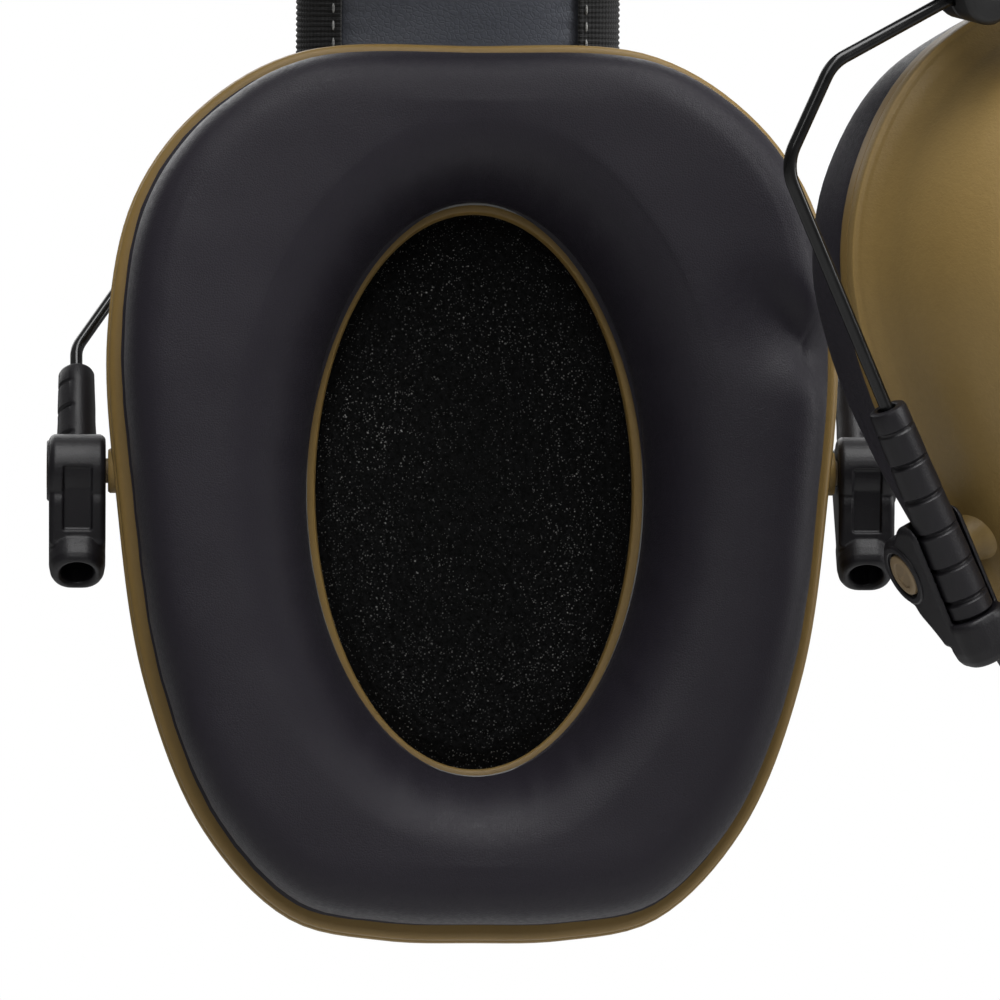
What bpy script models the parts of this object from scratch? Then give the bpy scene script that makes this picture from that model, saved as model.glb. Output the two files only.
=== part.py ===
# Low-profile earmuff hearing protector: two sealed ear cups on bent steel
# wire yokes, sliding and tilting carriages, and a padded sprung headband.
# Lengths below are in millimetres; the scene is in metres, +Z up.
# +X runs from the left cup to the right cup, the origin is the middle of the
# head at ear level.

import bpy
import bmesh
import math
from mathutils import Matrix, Vector

for ob in list(bpy.data.objects):
    bpy.data.objects.remove(ob, do_unlink=True)

MM = 0.001

# ---------------------------------------------------------------- dimensions
# headband
BAND_HALF = 94.4          # half distance between the two hinge crossbars
CROWN_Z = 119.2           # centre of the band at the crown
BAND_SPRING_Z = 52.5      # where the straight ends turn into the arch
BAND_END_Z = 48.9         # lower end of the padded band
BAND_WIDTH = 40.3
HEM_Y = 14.7              # inner edge of the binding's hem
SPRING_Y = 9.0
SPRING_R = 0.8
TWIST_DEG = 38.7          # the right half of the band is twisted at rest
TWIST_TILT_DEG = 38.6     # twist axis above the horizontal
TWIST_YAW_DEG = 30.0      # and turned to the rear
TWIST_CENTRE = (20.1, -36.1, 151.9)    # the twist axis passes under the crown
TWIST_SPAN = 78.0         # half length of the part of the band that twists
# hinge block
CROSS_Z = 38.33
BLOCK_HALF_Y = 21.5
BLOCK_LOW = 34.3
BLOCK_TOP = 48.5
BLOCK_HALF_X = 4.0
BLOCK_SPLIT = 0.15
SCREW_Y = 15.5
SCREW_Z = 44.4
# yoke wire
WIRE_R = 0.75
WIRE_SHOULDER_Y = 37.7
LEG_Y = 47.6
LEG_START = 7.7
LEG_END = 59.0
PINCH = {"left": 10.4, "right": 0.0}   # how far the upper wire is flexed in
PINCH_LOW = 26.8          # the flexed part of the legs ends here
FOLD_LEFT = 35.0          # the yokes' lean below the hinge blocks at rest
FOLD_RIGHT = -5.0
REACH_LEFT = 50.8         # crossbar to ear pivot, along the legs
REACH_RIGHT = 57.8
TILT_RIGHT = -9.7         # the right cup nods on its pins at rest
LEG_OFFSET = 5.7          # legs stand this far outside the ear pivots
# carriage
SLEEVE_TOP = 20.0
SLEEVE_BOTTOM = -5.7
GROOVES = (13.4, 9.1, 4.8, 0.5, -3.6)
ARM_Y0 = 44.2
ARM_Y1 = 51.0
CAP_Y = 47.9              # seat of the pivot pins' caps
EAR_R = 4.4
KNUCKLE_LOW = -11.5
KNUCKLE_TOP = -6.0
# cup: half width against height above the middle of the outline
OUTLINE = ((0.0, 54.0), (21.4, 53.4), (33.5, 46.2), (41.1, 35.4), (44.1, 19.0),
           (42.9, -0.8), (39.6, -22.5), (32.4, -40.5), (22.0, -51.2),
           (10.8, -53.7), (0.0, -54.0))
OUTLINE_DROP = -3.3       # middle of the outline below the pivots
OPEN_Z = -2.65            # middle of the ear opening
OPEN_A = 20.35            # ear opening in the cushion, half width
OPEN_B = 34.5
HOLE_A = 19.1             # hole in the face plate
HOLE_B = 33.5
FACE_X = -20.0            # cushion face
BOSS_R = 2.7
SEGMENTS = 36

# ----------------------------------------------------------------- materials


def material(name, rgb, rough, metal=0.0):
    m = bpy.data.materials.new(name)
    m.use_nodes = True
    b = m.node_tree.nodes["Principled BSDF"]
    b.inputs["Base Color"].default_value = (rgb[0], rgb[1], rgb[2], 1.0)
    b.inputs["Roughness"].default_value = rough
    b.inputs["Metallic"].default_value = metal
    m.diffuse_color = (rgb[0], rgb[1], rgb[2], 1.0)
    return m


COYOTE = (0.185, 0.130, 0.062)
LOOKS = {
    "shell": (COYOTE, 0.48, 0.0),
    "plate": ((0.170, 0.120, 0.055), 0.5, 0.0),
    "pin": ((0.150, 0.105, 0.055), 0.45, 0.0),
    "cushion": ((0.030, 0.028, 0.032), 0.5, 0.0),
    "snap": ((0.020, 0.020, 0.021), 0.5, 0.0),
    "foam": ((0.008, 0.008, 0.008), 0.95, 0.0),
    "liner": ((0.012, 0.012, 0.012), 0.95, 0.0),
    "pad": ((0.070, 0.074, 0.085), 0.6, 0.0),
    "cover": ((0.016, 0.016, 0.017), 0.7, 0.0),
    "binding": ((0.012, 0.012, 0.012), 0.85, 0.0),
    "spring": ((0.32, 0.32, 0.33), 0.3, 1.0),
    "block": ((0.016, 0.016, 0.017), 0.45, 0.0),
    "screw": ((0.25, 0.25, 0.26), 0.35, 1.0),
    "wire": ((0.020, 0.020, 0.021), 0.32, 0.8),
    "stop": ((0.20, 0.20, 0.21), 0.35, 1.0),
    "arm": ((0.045, 0.042, 0.045), 0.42, 0.0),
    "sleeve": ((0.055, 0.052, 0.055), 0.42, 0.0),
    "bush": ((0.30, 0.30, 0.29), 0.5, 0.0),
}

# -------------------------------------------------------------- mesh builders


def loft(rings, cyclic=False):
    """Quads between equal rings of points; the end rings are capped."""
    n = len(rings[0])
    verts = [p for r in rings for p in r]
    faces = []
    last = len(rings) if cyclic else len(rings) - 1
    for i in range(last):
        a, b = i * n, ((i + 1) % len(rings)) * n
        for k in range(n):
            j = (k + 1) % n
            faces.append((a + k, a + j, b + j, b + k))
    if not cyclic:
        faces.append(tuple(range(n)))
        faces.append(tuple((len(rings) - 1) * n + k for k in range(n)))
    return verts, faces


def close_with_poles(rings, first=None, last=None):
    """A loft whose end rings run into single points."""
    n = len(rings[0])
    verts, faces = loft(rings)
    faces = faces[:-2]
    base = (len(rings) - 1) * n
    if first is None:
        faces.append(tuple(range(n)))
    else:
        verts.append(first)
        k0 = len(verts) - 1
        faces += [(k, (k + 1) % n, k0) for k in range(n)]
    if last is None:
        faces.append(tuple(base + k for k in range(n)))
    else:
        verts.append(last)
        k1 = len(verts) - 1
        faces += [(base + k, base + (k + 1) % n, k1) for k in range(n)]
    return verts, faces


def circle(cx, cy, r, n, start=0.0):
    return [(cx + r * math.cos(start + 2 * math.pi * k / n),
             cy + r * math.sin(start + 2 * math.pi * k / n)) for k in range(n)]


def lathe(profile, n, axis="Z", at=(0.0, 0.0, 0.0), cyclic=True):
    """Turns a profile of (radius, height) about an axis through a point."""
    rings = []
    for r, h in profile:
        ring = []
        for k in range(n):
            a = 2 * math.pi * k / n
            c, s = r * math.cos(a), r * math.sin(a)
            if axis == "Z":
                p = (c, s, h)
            elif axis == "Y":
                p = (s, h, c)
            else:
                p = (h, c, s)
            ring.append((p[0] + at[0], p[1] + at[1], p[2] + at[2]))
        rings.append(ring)
    return loft(rings, cyclic)


def rounded_rect(hx, hy, r, per_corner=3):
    pts = []
    for cx, cy, a0 in ((hx - r, hy - r, 0), (-hx + r, hy - r, 90),
                       (-hx + r, -hy + r, 180), (hx - r, -hy + r, 270)):
        for k in range(per_corner + 1):
            a = math.radians(a0 + 90.0 * k / per_corner)
            pts.append((cx + r * math.cos(a), cy + r * math.sin(a)))
    return pts


def tube(path, r, n, flat_normal):
    """A round bar along a flat path whose plane has the given normal."""
    rings = []
    nn = Vector(flat_normal).normalized()
    for i, p in enumerate(path):
        p = Vector(p)
        a = Vector(path[max(i - 1, 0)])
        b = Vector(path[min(i + 1, len(path) - 1)])
        t = (b - a).normalized()
        side = t.cross(nn).normalized()
        rings.append([tuple(p + nn * (r * math.cos(2 * math.pi * k / n))
                            + side * (r * math.sin(2 * math.pi * k / n)))
                      for k in range(n)])
    return loft(rings)


def make(name, shape, place, look, origin=(0.0, 0.0, 0.0), sharp=35.0):
    verts, faces = shape
    o = Vector(place(origin))
    me = bpy.data.meshes.new(name)
    me.from_pydata([tuple((Vector(place(v)) - o) * MM) for v in verts], [],
                   faces)
    bm = bmesh.new()
    bm.from_mesh(me)
    bmesh.ops.remove_doubles(bm, verts=bm.verts, dist=1e-7)
    bmesh.ops.recalc_face_normals(bm, faces=bm.faces)
    bm.to_mesh(me)
    bm.free()
    ob = bpy.data.objects.new(name, me)
    bpy.context.scene.collection.objects.link(ob)
    ob.location = o * MM
    if look:
        if look not in made:
            made[look] = material(look, *LOOKS[look])
        # each piece has a material of its own
        m = made[look].copy()
        m.name = name + "_material"
        me.materials.append(m)
    finish_mesh(me, sharp)
    return ob


def finish_mesh(me, sharp):
    me.polygons.foreach_set("use_smooth", [True] * len(me.polygons))
    me.set_sharp_from_angle(angle=math.radians(sharp))
    me.update()


made = {}


def combine(ob, tool, operation, sharp=35.0):
    """Applies an exact Boolean and takes the tool away."""
    mod = ob.modifiers.new("cut", "BOOLEAN")
    mod.solver = "EXACT"
    mod.operation = operation
    mod.object = tool
    dg = bpy.context.evaluated_depsgraph_get()
    me = bpy.data.meshes.new_from_object(ob.evaluated_get(dg))
    ob.modifiers.clear()
    old = ob.data
    name = old.name
    ob.data = me
    bpy.data.meshes.remove(old)
    me.name = name
    while len(me.materials) > 1:
        me.materials.pop(index=len(me.materials) - 1)
    me.polygons.foreach_set("material_index", [0] * len(me.polygons))
    bm = bmesh.new()
    bm.from_mesh(me)
    bmesh.ops.remove_doubles(bm, verts=bm.verts, dist=2e-6)
    bmesh.ops.dissolve_degenerate(bm, edges=bm.edges, dist=2e-6)
    bmesh.ops.recalc_face_normals(bm, faces=bm.faces)
    bm.to_mesh(me)
    bm.free()
    finish_mesh(me, sharp)
    tm = tool.data
    bpy.data.objects.remove(tool, do_unlink=True)
    bpy.data.meshes.remove(tm)


# --------------------------------------------------------- cup outline shapes


def outline_points(n):
    """The cup outline as n points from the top, clockwise seen along +X."""
    ctrl = list(OUTLINE)
    full = ctrl + [(-w, z) for w, z in reversed(ctrl[1:-1])]
    m = len(full)
    dense = []
    for i in range(len(ctrl) - 1):
        p0, p1, p2, p3 = (Vector(full[(i + k - 1) % m]) for k in range(4))
        d01 = (p1 - p0).length ** 0.5
        d12 = (p2 - p1).length ** 0.5
        d23 = (p3 - p2).length ** 0.5
        t0, t1 = 0.0, d01
        t2 = t1 + d12
        t3 = t2 + d23
        for k in range(40):
            t = t1 + (t2 - t1) * k / 40.0
            a1 = p0 * ((t1 - t) / (t1 - t0)) + p1 * ((t - t0) / (t1 - t0))
            a2 = p1 * ((t2 - t) / (t2 - t1)) + p2 * ((t - t1) / (t2 - t1))
            a3 = p2 * ((t3 - t) / (t3 - t2)) + p3 * ((t - t2) / (t3 - t2))
            b1 = a1 * ((t2 - t) / (t2 - t0)) + a2 * ((t - t0) / (t2 - t0))
            b2 = a2 * ((t3 - t) / (t3 - t1)) + a3 * ((t - t1) / (t3 - t1))
            dense.append(b1 * ((t2 - t) / (t2 - t1))
                         + b2 * ((t - t1) / (t2 - t1)))
    dense.append(Vector(ctrl[-1]))
    run = [0.0]
    for a, b in zip(dense, dense[1:]):
        run.append(run[-1] + (b - a).length)
    half = []
    j = 0
    for k in range(n // 2 + 1):
        s = run[-1] * k / (n // 2)
        while j < len(run) - 2 and run[j + 1] < s:
            j += 1
        f = (s - run[j]) / (run[j + 1] - run[j])
        half.append(dense[j].lerp(dense[j + 1], min(max(f, 0.0), 1.0)))
    half[0] = Vector((0.0, ctrl[0][1]))
    half[-1] = Vector((0.0, ctrl[-1][1]))
    return half + [Vector((-p.x, p.y)) for p in reversed(half[1:-1])]


BASE = outline_points(SEGMENTS)


def cup_ring(x, inset=0.0, scale=1.0):
    n = len(BASE)
    ring = []
    for k in range(n):
        t = (BASE[(k + 1) % n] - BASE[k - 1]).normalized()
        normal = Vector((-t.y, t.x))
        if normal.dot(BASE[k]) < 0:
            normal = -normal
        p = (BASE[k] - normal * inset) * scale
        ring.append((x, p.x, p.y + OUTLINE_DROP))
    return ring


def open_ring(x, a, b, n=None):
    n = n or SEGMENTS
    return [(x, a * math.sin(2 * math.pi * k / n),
             b * math.cos(2 * math.pi * k / n) + OPEN_Z) for k in range(n)]


def mirrored(shape):
    verts, faces = shape
    return [(v[0], -v[1], v[2]) for v in verts], faces


# -------------------------------------------------------------- the placement

ELEV, YAW = math.radians(TWIST_TILT_DEG), math.radians(TWIST_YAW_DEG)
AXIS = Vector((math.cos(ELEV) * math.cos(YAW), math.sin(YAW),
               math.sin(ELEV) * math.cos(YAW)))
CENTRE = Vector(TWIST_CENTRE)


def twist_matrix(weight):
    return (Matrix.Translation(CENTRE)
            @ Matrix.Rotation(math.radians(TWIST_DEG) * weight, 4, AXIS)
            @ Matrix.Translation(-CENTRE))


def placer(matrix):
    return lambda p: tuple(matrix @ Vector(p))


def side_frames(sign, reach, lean, tilt):
    side = Matrix.Rotation(math.pi, 4, "Z") if sign < 0 else twist_matrix(1.0)
    fold = (Matrix.Translation((BAND_HALF, 0.0, CROSS_Z))
            @ Matrix.Rotation(math.radians(lean), 4, "Y"))
    carriage = fold @ Matrix.Translation((-LEG_OFFSET, 0.0, -reach))
    cup = (Matrix.Translation(carriage.translation)
           @ Matrix.Rotation(math.radians(tilt), 4, "Y"))
    return {"block": placer(side), "yoke": placer(side @ fold),
            "carriage": placer(side @ carriage), "cup": placer(side @ cup)}


# --------------------------------------------------------------- the headband


def band_path(n_arc, low):
    """Points, tangents and outward normals from the right end to the left."""
    b = CROWN_Z - BAND_SPRING_Z
    pts = [(BAND_HALF, low, 1.0, 0.0)]
    for k in range(n_arc + 1):
        a = math.pi * k / n_arc
        x, z = BAND_HALF * math.cos(a), BAND_SPRING_Z + b * math.sin(a)
        nx, nz = math.cos(a) / BAND_HALF, math.sin(a) / b
        ln = math.hypot(nx, nz)
        pts.append((x, z, nx / ln, nz / ln))
    pts.append((-BAND_HALF, low, -1.0, 0.0))
    return pts


def band_sweep(section, low, n_arc=32):
    rings = []
    for x, z, nx, nz in band_path(n_arc, low):
        rings.append([(x + nx * h, y, z + nz * h) for y, h in section])
    return loft(rings)


def band_place(p):
    """The straight band, twisted towards its right-hand end."""
    t = min(max((p[0] + TWIST_SPAN) / (2 * TWIST_SPAN), 0.0), 1.0)
    return tuple(twist_matrix(t * t * (3 - 2 * t)) @ Vector(p))


def symmetric(half):
    """Mirrors a half section given from its +Y edge to the middle."""
    return list(half) + [(-y, h) for y, h in reversed(half)
                         if abs(y) > 1e-6]


def headband():
    pad = ([(17.1, -1.15), (17.1, -2.6), (13.6, -4.6), (7.5, -5.6),
            (0.0, -5.9), (-7.5, -5.6), (-13.6, -4.6), (-17.1, -2.6),
            (-17.1, -1.15), (-SPRING_Y, -1.15), (0.0, -1.15),
            (SPRING_Y, -1.15)])
    cover = ([(17.1, 1.15), (17.1, 2.4), (13.6, 3.6), (6.6, 4.4), (0.0, 4.6),
              (-6.6, 4.4), (-13.6, 3.6), (-17.1, 2.4), (-17.1, 1.15),
              (-SPRING_Y, 1.15), (0.0, 1.15), (SPRING_Y, 1.15)])
    edge = BAND_WIDTH / 2
    binding = ([(HEM_Y, -5.35), (17.5, -4.35), (edge, -2.0), (edge, 2.0),
                (17.5, 4.1), (HEM_Y, 4.6), (HEM_Y, 3.75), (17.4, 2.75),
                (17.4, -3.0), (HEM_Y, -4.45)])
    make("headband_inner_pad", band_sweep(pad, BAND_END_Z), band_place, "pad",
         origin=(0.0, 0.0, CROWN_Z))
    make("headband_outer_cover", band_sweep(cover, BAND_END_Z), band_place,
         "cover", origin=(0.0, 0.0, CROWN_Z))
    for tag, s in (("rear", 1), ("front", -1)):
        make(tag + "_edge_binding",
             band_sweep([(y * s, h) for y, h in binding], BAND_END_Z),
             band_place, "binding", origin=(0.0, 0.0, CROWN_Z))
        wire = [(SPRING_Y * s + y, h)
                for y, h in circle(0.0, 0.0, SPRING_R, 6)]
        make(tag + "_spring_wire", band_sweep(wire, CROSS_Z + 3.2),
             band_place, "spring", origin=(0.0, 0.0, CROWN_Z))


# ------------------------------------------------------ the hinge blocks


def hinge_block(tag, frames):
    place = frames["block"]
    mid_z = (BLOCK_LOW + BLOCK_TOP) / 2
    half_z = (BLOCK_TOP - BLOCK_LOW) / 2
    origin = (BAND_HALF, 0.0, CROSS_Z)

    def ring(x, inset):
        return [(x, y, z + mid_z) for y, z in
                rounded_rect(BLOCK_HALF_Y - inset, half_z - inset,
                             3.0 - inset * 0.5)]

    def tools(sign):
        crossbar = lathe([(WIRE_R + 0.3, -BLOCK_HALF_Y - 2),
                          (WIRE_R + 0.3, BLOCK_HALF_Y + 2)], 12, "Y",
                         (BAND_HALF, 0.0, CROSS_Z), cyclic=False)
        out = [crossbar]
        for y in (-SPRING_Y, SPRING_Y):
            out.append(lathe([(SPRING_R + 0.3, CROSS_Z + 2.8),
                              (SPRING_R + 0.3, BLOCK_TOP + 2)], 10, "Z",
                             (BAND_HALF, y, 0.0), cyclic=False))
        for y in (-SCREW_Y, SCREW_Y):
            at = (BAND_HALF, y, SCREW_Z)
            if sign < 0:
                out.append(lathe([(2.3, -BLOCK_HALF_X - 1),
                                  (2.3, -BLOCK_HALF_X + 1.6),
                                  (1.3, -BLOCK_HALF_X + 1.6),
                                  (1.3, 1.0)], 12, "X", at, cyclic=False))
            else:
                out.append(lathe([(1.3, -1.0), (1.3, 3.1)], 12, "X", at,
                                 cyclic=False))
        return out

    for half, s in (("inner", -1), ("outer", 1)):
        a, b = BAND_HALF + s * BLOCK_SPLIT, BAND_HALF + s * BLOCK_HALF_X
        ob = make(tag + "_hinge_block_" + half,
                  loft([ring(a, 0.0), ring(b - s * 0.9, 0.0), ring(b, 0.9)]),
                  place, "block", origin=origin)
        for shape in tools(s):
            combine(ob, make("tool", shape, place, None, origin=origin),
                    "DIFFERENCE")
    for name, y in (("a", -SCREW_Y), ("b", SCREW_Y)):
        profile = [(0.75, -BLOCK_HALF_X + 0.55), (0.75, -BLOCK_HALF_X - 0.1),
                   (1.7, -BLOCK_HALF_X - 0.1), (2.0, -BLOCK_HALF_X + 0.25),
                   (2.0, -BLOCK_HALF_X + 1.35), (1.0, -BLOCK_HALF_X + 1.35),
                   (1.0, 2.8)]
        rings = lathe(profile, 12, "X", (BAND_HALF, y, SCREW_Z), cyclic=False)
        make(tag + "_block_screw_" + name, rings, place, "screw",
             origin=(BAND_HALF, y, SCREW_Z))


# -------------------------------------------------------------- the wire yoke


def yoke_path(pinch):
    """Half of the bent wire as (y, z), crossbar middle to leg end."""
    bend_r = 5.0
    corners = [(0.0, 0.0), (WIRE_SHOULDER_Y - pinch, 0.0),
               (LEG_Y - pinch, -LEG_START), (LEG_Y, -LEG_END)]
    if pinch:
        corners.insert(3, (LEG_Y, -PINCH_LOW))
    pts = [Vector(corners[0])]
    for i in range(1, len(corners) - 1):
        p0, p1, p2 = (Vector(corners[k]) for k in (i - 1, i, i + 1))
        a, b = (p0 - p1).normalized(), (p2 - p1).normalized()
        half = 0.5 * a.angle(b)
        reach = bend_r / math.tan(half)
        centre = p1 + (a + b).normalized() * (bend_r / math.sin(half))
        start, end = p1 + a * reach - centre, p1 + b * reach - centre
        for k in range(4):
            d = start.lerp(end, k / 3.0).normalized() * bend_r
            pts.append(centre + d)
    pts.append(Vector(corners[-1]))
    return pts


def yoke(tag, frames, names):
    half = yoke_path(PINCH[tag])
    path = ([(0.0, -p.x, p.y) for p in reversed(half[1:])]
            + [(0.0, p.x, p.y) for p in half])
    make(tag + "_yoke_wire", tube(path, WIRE_R, 8, (1.0, 0.0, 0.0)),
         frames["yoke"], "wire")
    ring = [(0.95, -LEG_END), (1.2, -LEG_END), (1.35, -LEG_END + 0.3),
            (1.35, -LEG_END + 2.7), (1.2, -LEG_END + 3.0),
            (0.95, -LEG_END + 3.0)]
    for name, s in names:
        make(tag + "_" + name + "_wire_stop",
             lathe(ring, 10, "Z", (0.0, LEG_Y * s, 0.0)), frames["yoke"],
             "stop")


# --------------------------------------------------------------- the carriage


def arm_housing():
    """The ear round the pivot and the flat web beside the sleeve."""
    pts = []
    for k in range(9):
        a = math.radians(90 + 160.0 * k / 8)
        pts.append((EAR_R * math.cos(a), EAR_R * math.sin(a)))
    pts += [(2.9, KNUCKLE_LOW + 2.4), (6.2, KNUCKLE_LOW + 2.4),
            (6.2, 5.4), (5.4, 6.2), (1.8, 6.2)]
    edge = 0.5
    mid = Vector((2.0, -2.0))

    def ring(y, shrink):
        out = []
        for x, z in pts:
            v = Vector((x, z)) - mid
            v = v * (1.0 - shrink / v.length)
            out.append((v.x + mid.x, y, v.y + mid.y))
        return out
    return loft([ring(ARM_Y0, edge), ring(ARM_Y0 + edge, 0.0),
                 ring(ARM_Y1 - edge, 0.0), ring(ARM_Y1, edge)])


def knuckle():
    rings = []
    half = (ARM_Y1 - ARM_Y0) / 2
    for z, s in ((KNUCKLE_LOW, 0.80), (KNUCKLE_LOW + 0.9, 0.95),
                 (KNUCKLE_LOW + 2.0, 1.0), (KNUCKLE_TOP - 0.5, 1.0),
                 (KNUCKLE_TOP + 0.1, 0.93)):
        rings.append([(LEG_OFFSET + x * s, LEG_Y + y * s, z)
                      for x, y in rounded_rect(half, half, 2.4)])
    return loft(rings)


def sleeve_profile():
    """Closed (radius, height) profile of the grooved sleeve."""
    def outer(z):
        f = (SLEEVE_TOP - z) / (SLEEVE_TOP - SLEEVE_BOTTOM)
        return 2.2 + 0.45 * f
    pts = [(1.15, SLEEVE_TOP), (outer(SLEEVE_TOP) - 0.35, SLEEVE_TOP),
           (outer(SLEEVE_TOP), SLEEVE_TOP - 0.5)]
    for g in GROOVES:
        pts += [(outer(g), g + 0.5), (outer(g) - 0.4, g), (outer(g), g - 0.5)]
    pts += [(outer(SLEEVE_BOTTOM), SLEEVE_BOTTOM), (1.6, SLEEVE_BOTTOM),
            (1.6, SLEEVE_TOP - 1.4), (1.15, SLEEVE_TOP - 1.4)]
    return pts


def carriage(tag, frames, names):
    place = frames["carriage"]
    for name, s in names:
        flip = (lambda sh: sh) if s > 0 else mirrored
        ob = make(tag + "_" + name + "_arm_housing", flip(arm_housing()),
                  place, "arm")
        combine(ob, make("tool", flip(knuckle()), place, None), "UNION")
        holes = (
            lathe([(2.85, KNUCKLE_TOP), (2.85, 9.5)], 16, "Z",
                  (LEG_OFFSET, LEG_Y, 0.0), cyclic=False),
            lathe([(2.0, KNUCKLE_LOW - 1), (2.0, KNUCKLE_TOP + 1)], 14, "Z",
                  (LEG_OFFSET, LEG_Y, 0.0), cyclic=False),
            lathe([(1.75, ARM_Y0 - 1), (1.75, CAP_Y - 0.3),
                   (2.7, CAP_Y - 0.3), (2.7, ARM_Y1 + 1)], 16, "Y", cyclic=False),
        )
        for shape in holes:
            combine(ob, make("tool", flip(shape), place, None), "DIFFERENCE")
        at = (LEG_OFFSET, LEG_Y * s, 0.0)
        make(tag + "_" + name + "_grooved_sleeve",
             lathe(sleeve_profile(), 12, "Z", at), place, "sleeve")
        make(tag + "_" + name + "_friction_bush",
             lathe([(0.95, 14.6), (1.4, 14.6), (1.4, 18.3), (0.95, 18.3)], 10,
                   "Z", at), place, "bush")


# -------------------------------------------------------------------- the cup


def cup(tag, frames, names):
    place = frames["cup"]
    outer = [cup_ring(-3.0, 0.0), cup_ring(-0.8, 0.0), cup_ring(-0.8, 1.5),
             cup_ring(2.0, 2.3), cup_ring(6.5, 3.8), cup_ring(11.5, 6.6),
             cup_ring(16.0, 11.2), cup_ring(19.2, 11.2, 0.80),
             cup_ring(21.6, 11.2, 0.50), cup_ring(22.5, 11.2, 0.22)]
    inner = [cup_ring(20.3, 11.2, 0.25), cup_ring(18.6, 13.0, 0.62),
             cup_ring(15.0, 13.5), cup_ring(10.5, 9.2), cup_ring(5.5, 6.3),
             cup_ring(-3.0, 5.0)]
    n = len(BASE)
    verts, faces = loft(outer + inner, cyclic=True)
    # the band between the two innermost rings is the thickness of the dome:
    # it is replaced by an outer and an inner pole
    i0, i1 = (len(outer) - 1) * n, len(outer) * n
    faces = [f for f in faces if not (min(f) >= i0 and max(f) < i1 + n
                                      and any(v < i1 for v in f)
                                      and any(v >= i1 for v in f))]
    verts += [(22.7, 0.0, OUTLINE_DROP), (20.6, 0.0, OUTLINE_DROP)]
    p0, p1 = len(verts) - 2, len(verts) - 1
    faces += [(i0 + k, i0 + (k + 1) % n, p0) for k in range(n)]
    faces += [(i1 + k, i1 + (k + 1) % n, p1) for k in range(n)]
    shell = make(tag + "_cup_shell", (verts, faces), place, "shell",
                 sharp=40.0)
    for s in (1, -1):
        boss = lathe([(BOSS_R, 39.4), (BOSS_R, ARM_Y0 - 0.3)], 16, "Y",
                     cyclic=False)
        bore = lathe([(1.75, 41.2), (1.75, ARM_Y0 + 1)], 14, "Y",
                     cyclic=False)
        flip = (lambda sh: sh) if s > 0 else mirrored
        combine(shell, make("tool", flip(boss), place, None), "UNION", 40.0)
        combine(shell, make("tool", flip(bore), place, None), "DIFFERENCE",
                40.0)
    for name, s in names:
        flip = (lambda sh: sh) if s > 0 else mirrored
        pin = [(1.5, 41.5), (1.5, CAP_Y), (2.5, CAP_Y), (2.5, ARM_Y1 - 0.1),
               (2.1, ARM_Y1 + 0.3)]
        make(tag + "_" + name + "_pivot_pin",
             flip(lathe(pin, 14, "Y", cyclic=False)), place, "pin")
    make(tag + "_face_plate",
         loft([cup_ring(-3.3, 0.3), cup_ring(-5.0, 0.3), cup_ring(-5.6, 0.9),
               open_ring(-5.6, HOLE_A + 0.5, HOLE_B + 0.5),
               open_ring(-5.1, HOLE_A, HOLE_B),
               open_ring(-3.3, HOLE_A, HOLE_B)], cyclic=True),
         place, "plate")
    make(tag + "_cushion_snap_plate",
         loft([cup_ring(-5.9, 3.2), cup_ring(-7.0, 3.2),
               open_ring(-7.0, OPEN_A + 2.2, OPEN_B + 2.2),
               open_ring(-5.9, OPEN_A + 2.2, OPEN_B + 2.2)], cyclic=True),
         place, "snap")
    make(tag + "_ear_cushion",
         loft([cup_ring(-7.3, 2.8), cup_ring(-9.4, 1.6), cup_ring(-14.0, 1.6),
               cup_ring(-17.6, 2.5), cup_ring(-19.5, 4.6),
               cup_ring(FACE_X, 7.6),
               open_ring(FACE_X, OPEN_A + 6.0, OPEN_B + 6.0),
               open_ring(-19.2, OPEN_A + 2.6, OPEN_B + 2.6),
               open_ring(-16.8, OPEN_A + 0.5, OPEN_B + 0.5),
               open_ring(-13.0, OPEN_A, OPEN_B),
               open_ring(-9.0, OPEN_A + 0.8, OPEN_B + 0.8),
               open_ring(-7.3, OPEN_A + 2.0, OPEN_B + 2.0)], cyclic=True),
         place, "cushion", sharp=50.0)
    m = 28
    make(tag + "_foam_insert",
         close_with_poles([open_ring(-4.3, 15.5, 29.5, m),
                           open_ring(-3.0, 18.0, 32.2, m),
                           open_ring(-3.0, 23.5, 37.5, m),
                           open_ring(7.0, 23.5, 37.5, m)],
                          first=(-4.6, 0.0, OPEN_Z)),
         place, "foam", sharp=50.0)
    make(tag + "_cup_liner",
         loft([cup_ring(7.3, 8.6), cup_ring(9.0, 9.4),
               cup_ring(14.0, 14.5), cup_ring(17.2, 14.0, 0.62)]),
         place, "liner", sharp=50.0)


# ------------------------------------------------------------------- assembly

headband()
for tag, sign, reach, lean, tilt in (
        ("left", -1, REACH_LEFT, FOLD_LEFT, 0.0),
        ("right", 1, REACH_RIGHT, FOLD_RIGHT, TILT_RIGHT)):
    frames = side_frames(sign, reach, lean, tilt)
    # the left side is turned half round, so its +Y pieces face the front
    names = (("front", 1), ("rear", -1)) if sign < 0 else (("rear", 1),
                                                           ("front", -1))
    hinge_block(tag, frames)
    yoke(tag, frames, names)
    carriage(tag, frames, names)
    cup(tag, frames, names)
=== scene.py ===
# Looks for the low-profile earmuff hearing protector.
# Shapes are built in millimetres in each side's own frame and placed in metres.

import bpy
import bmesh
import math
import numpy as np
from mathutils import Matrix, Vector


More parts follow.
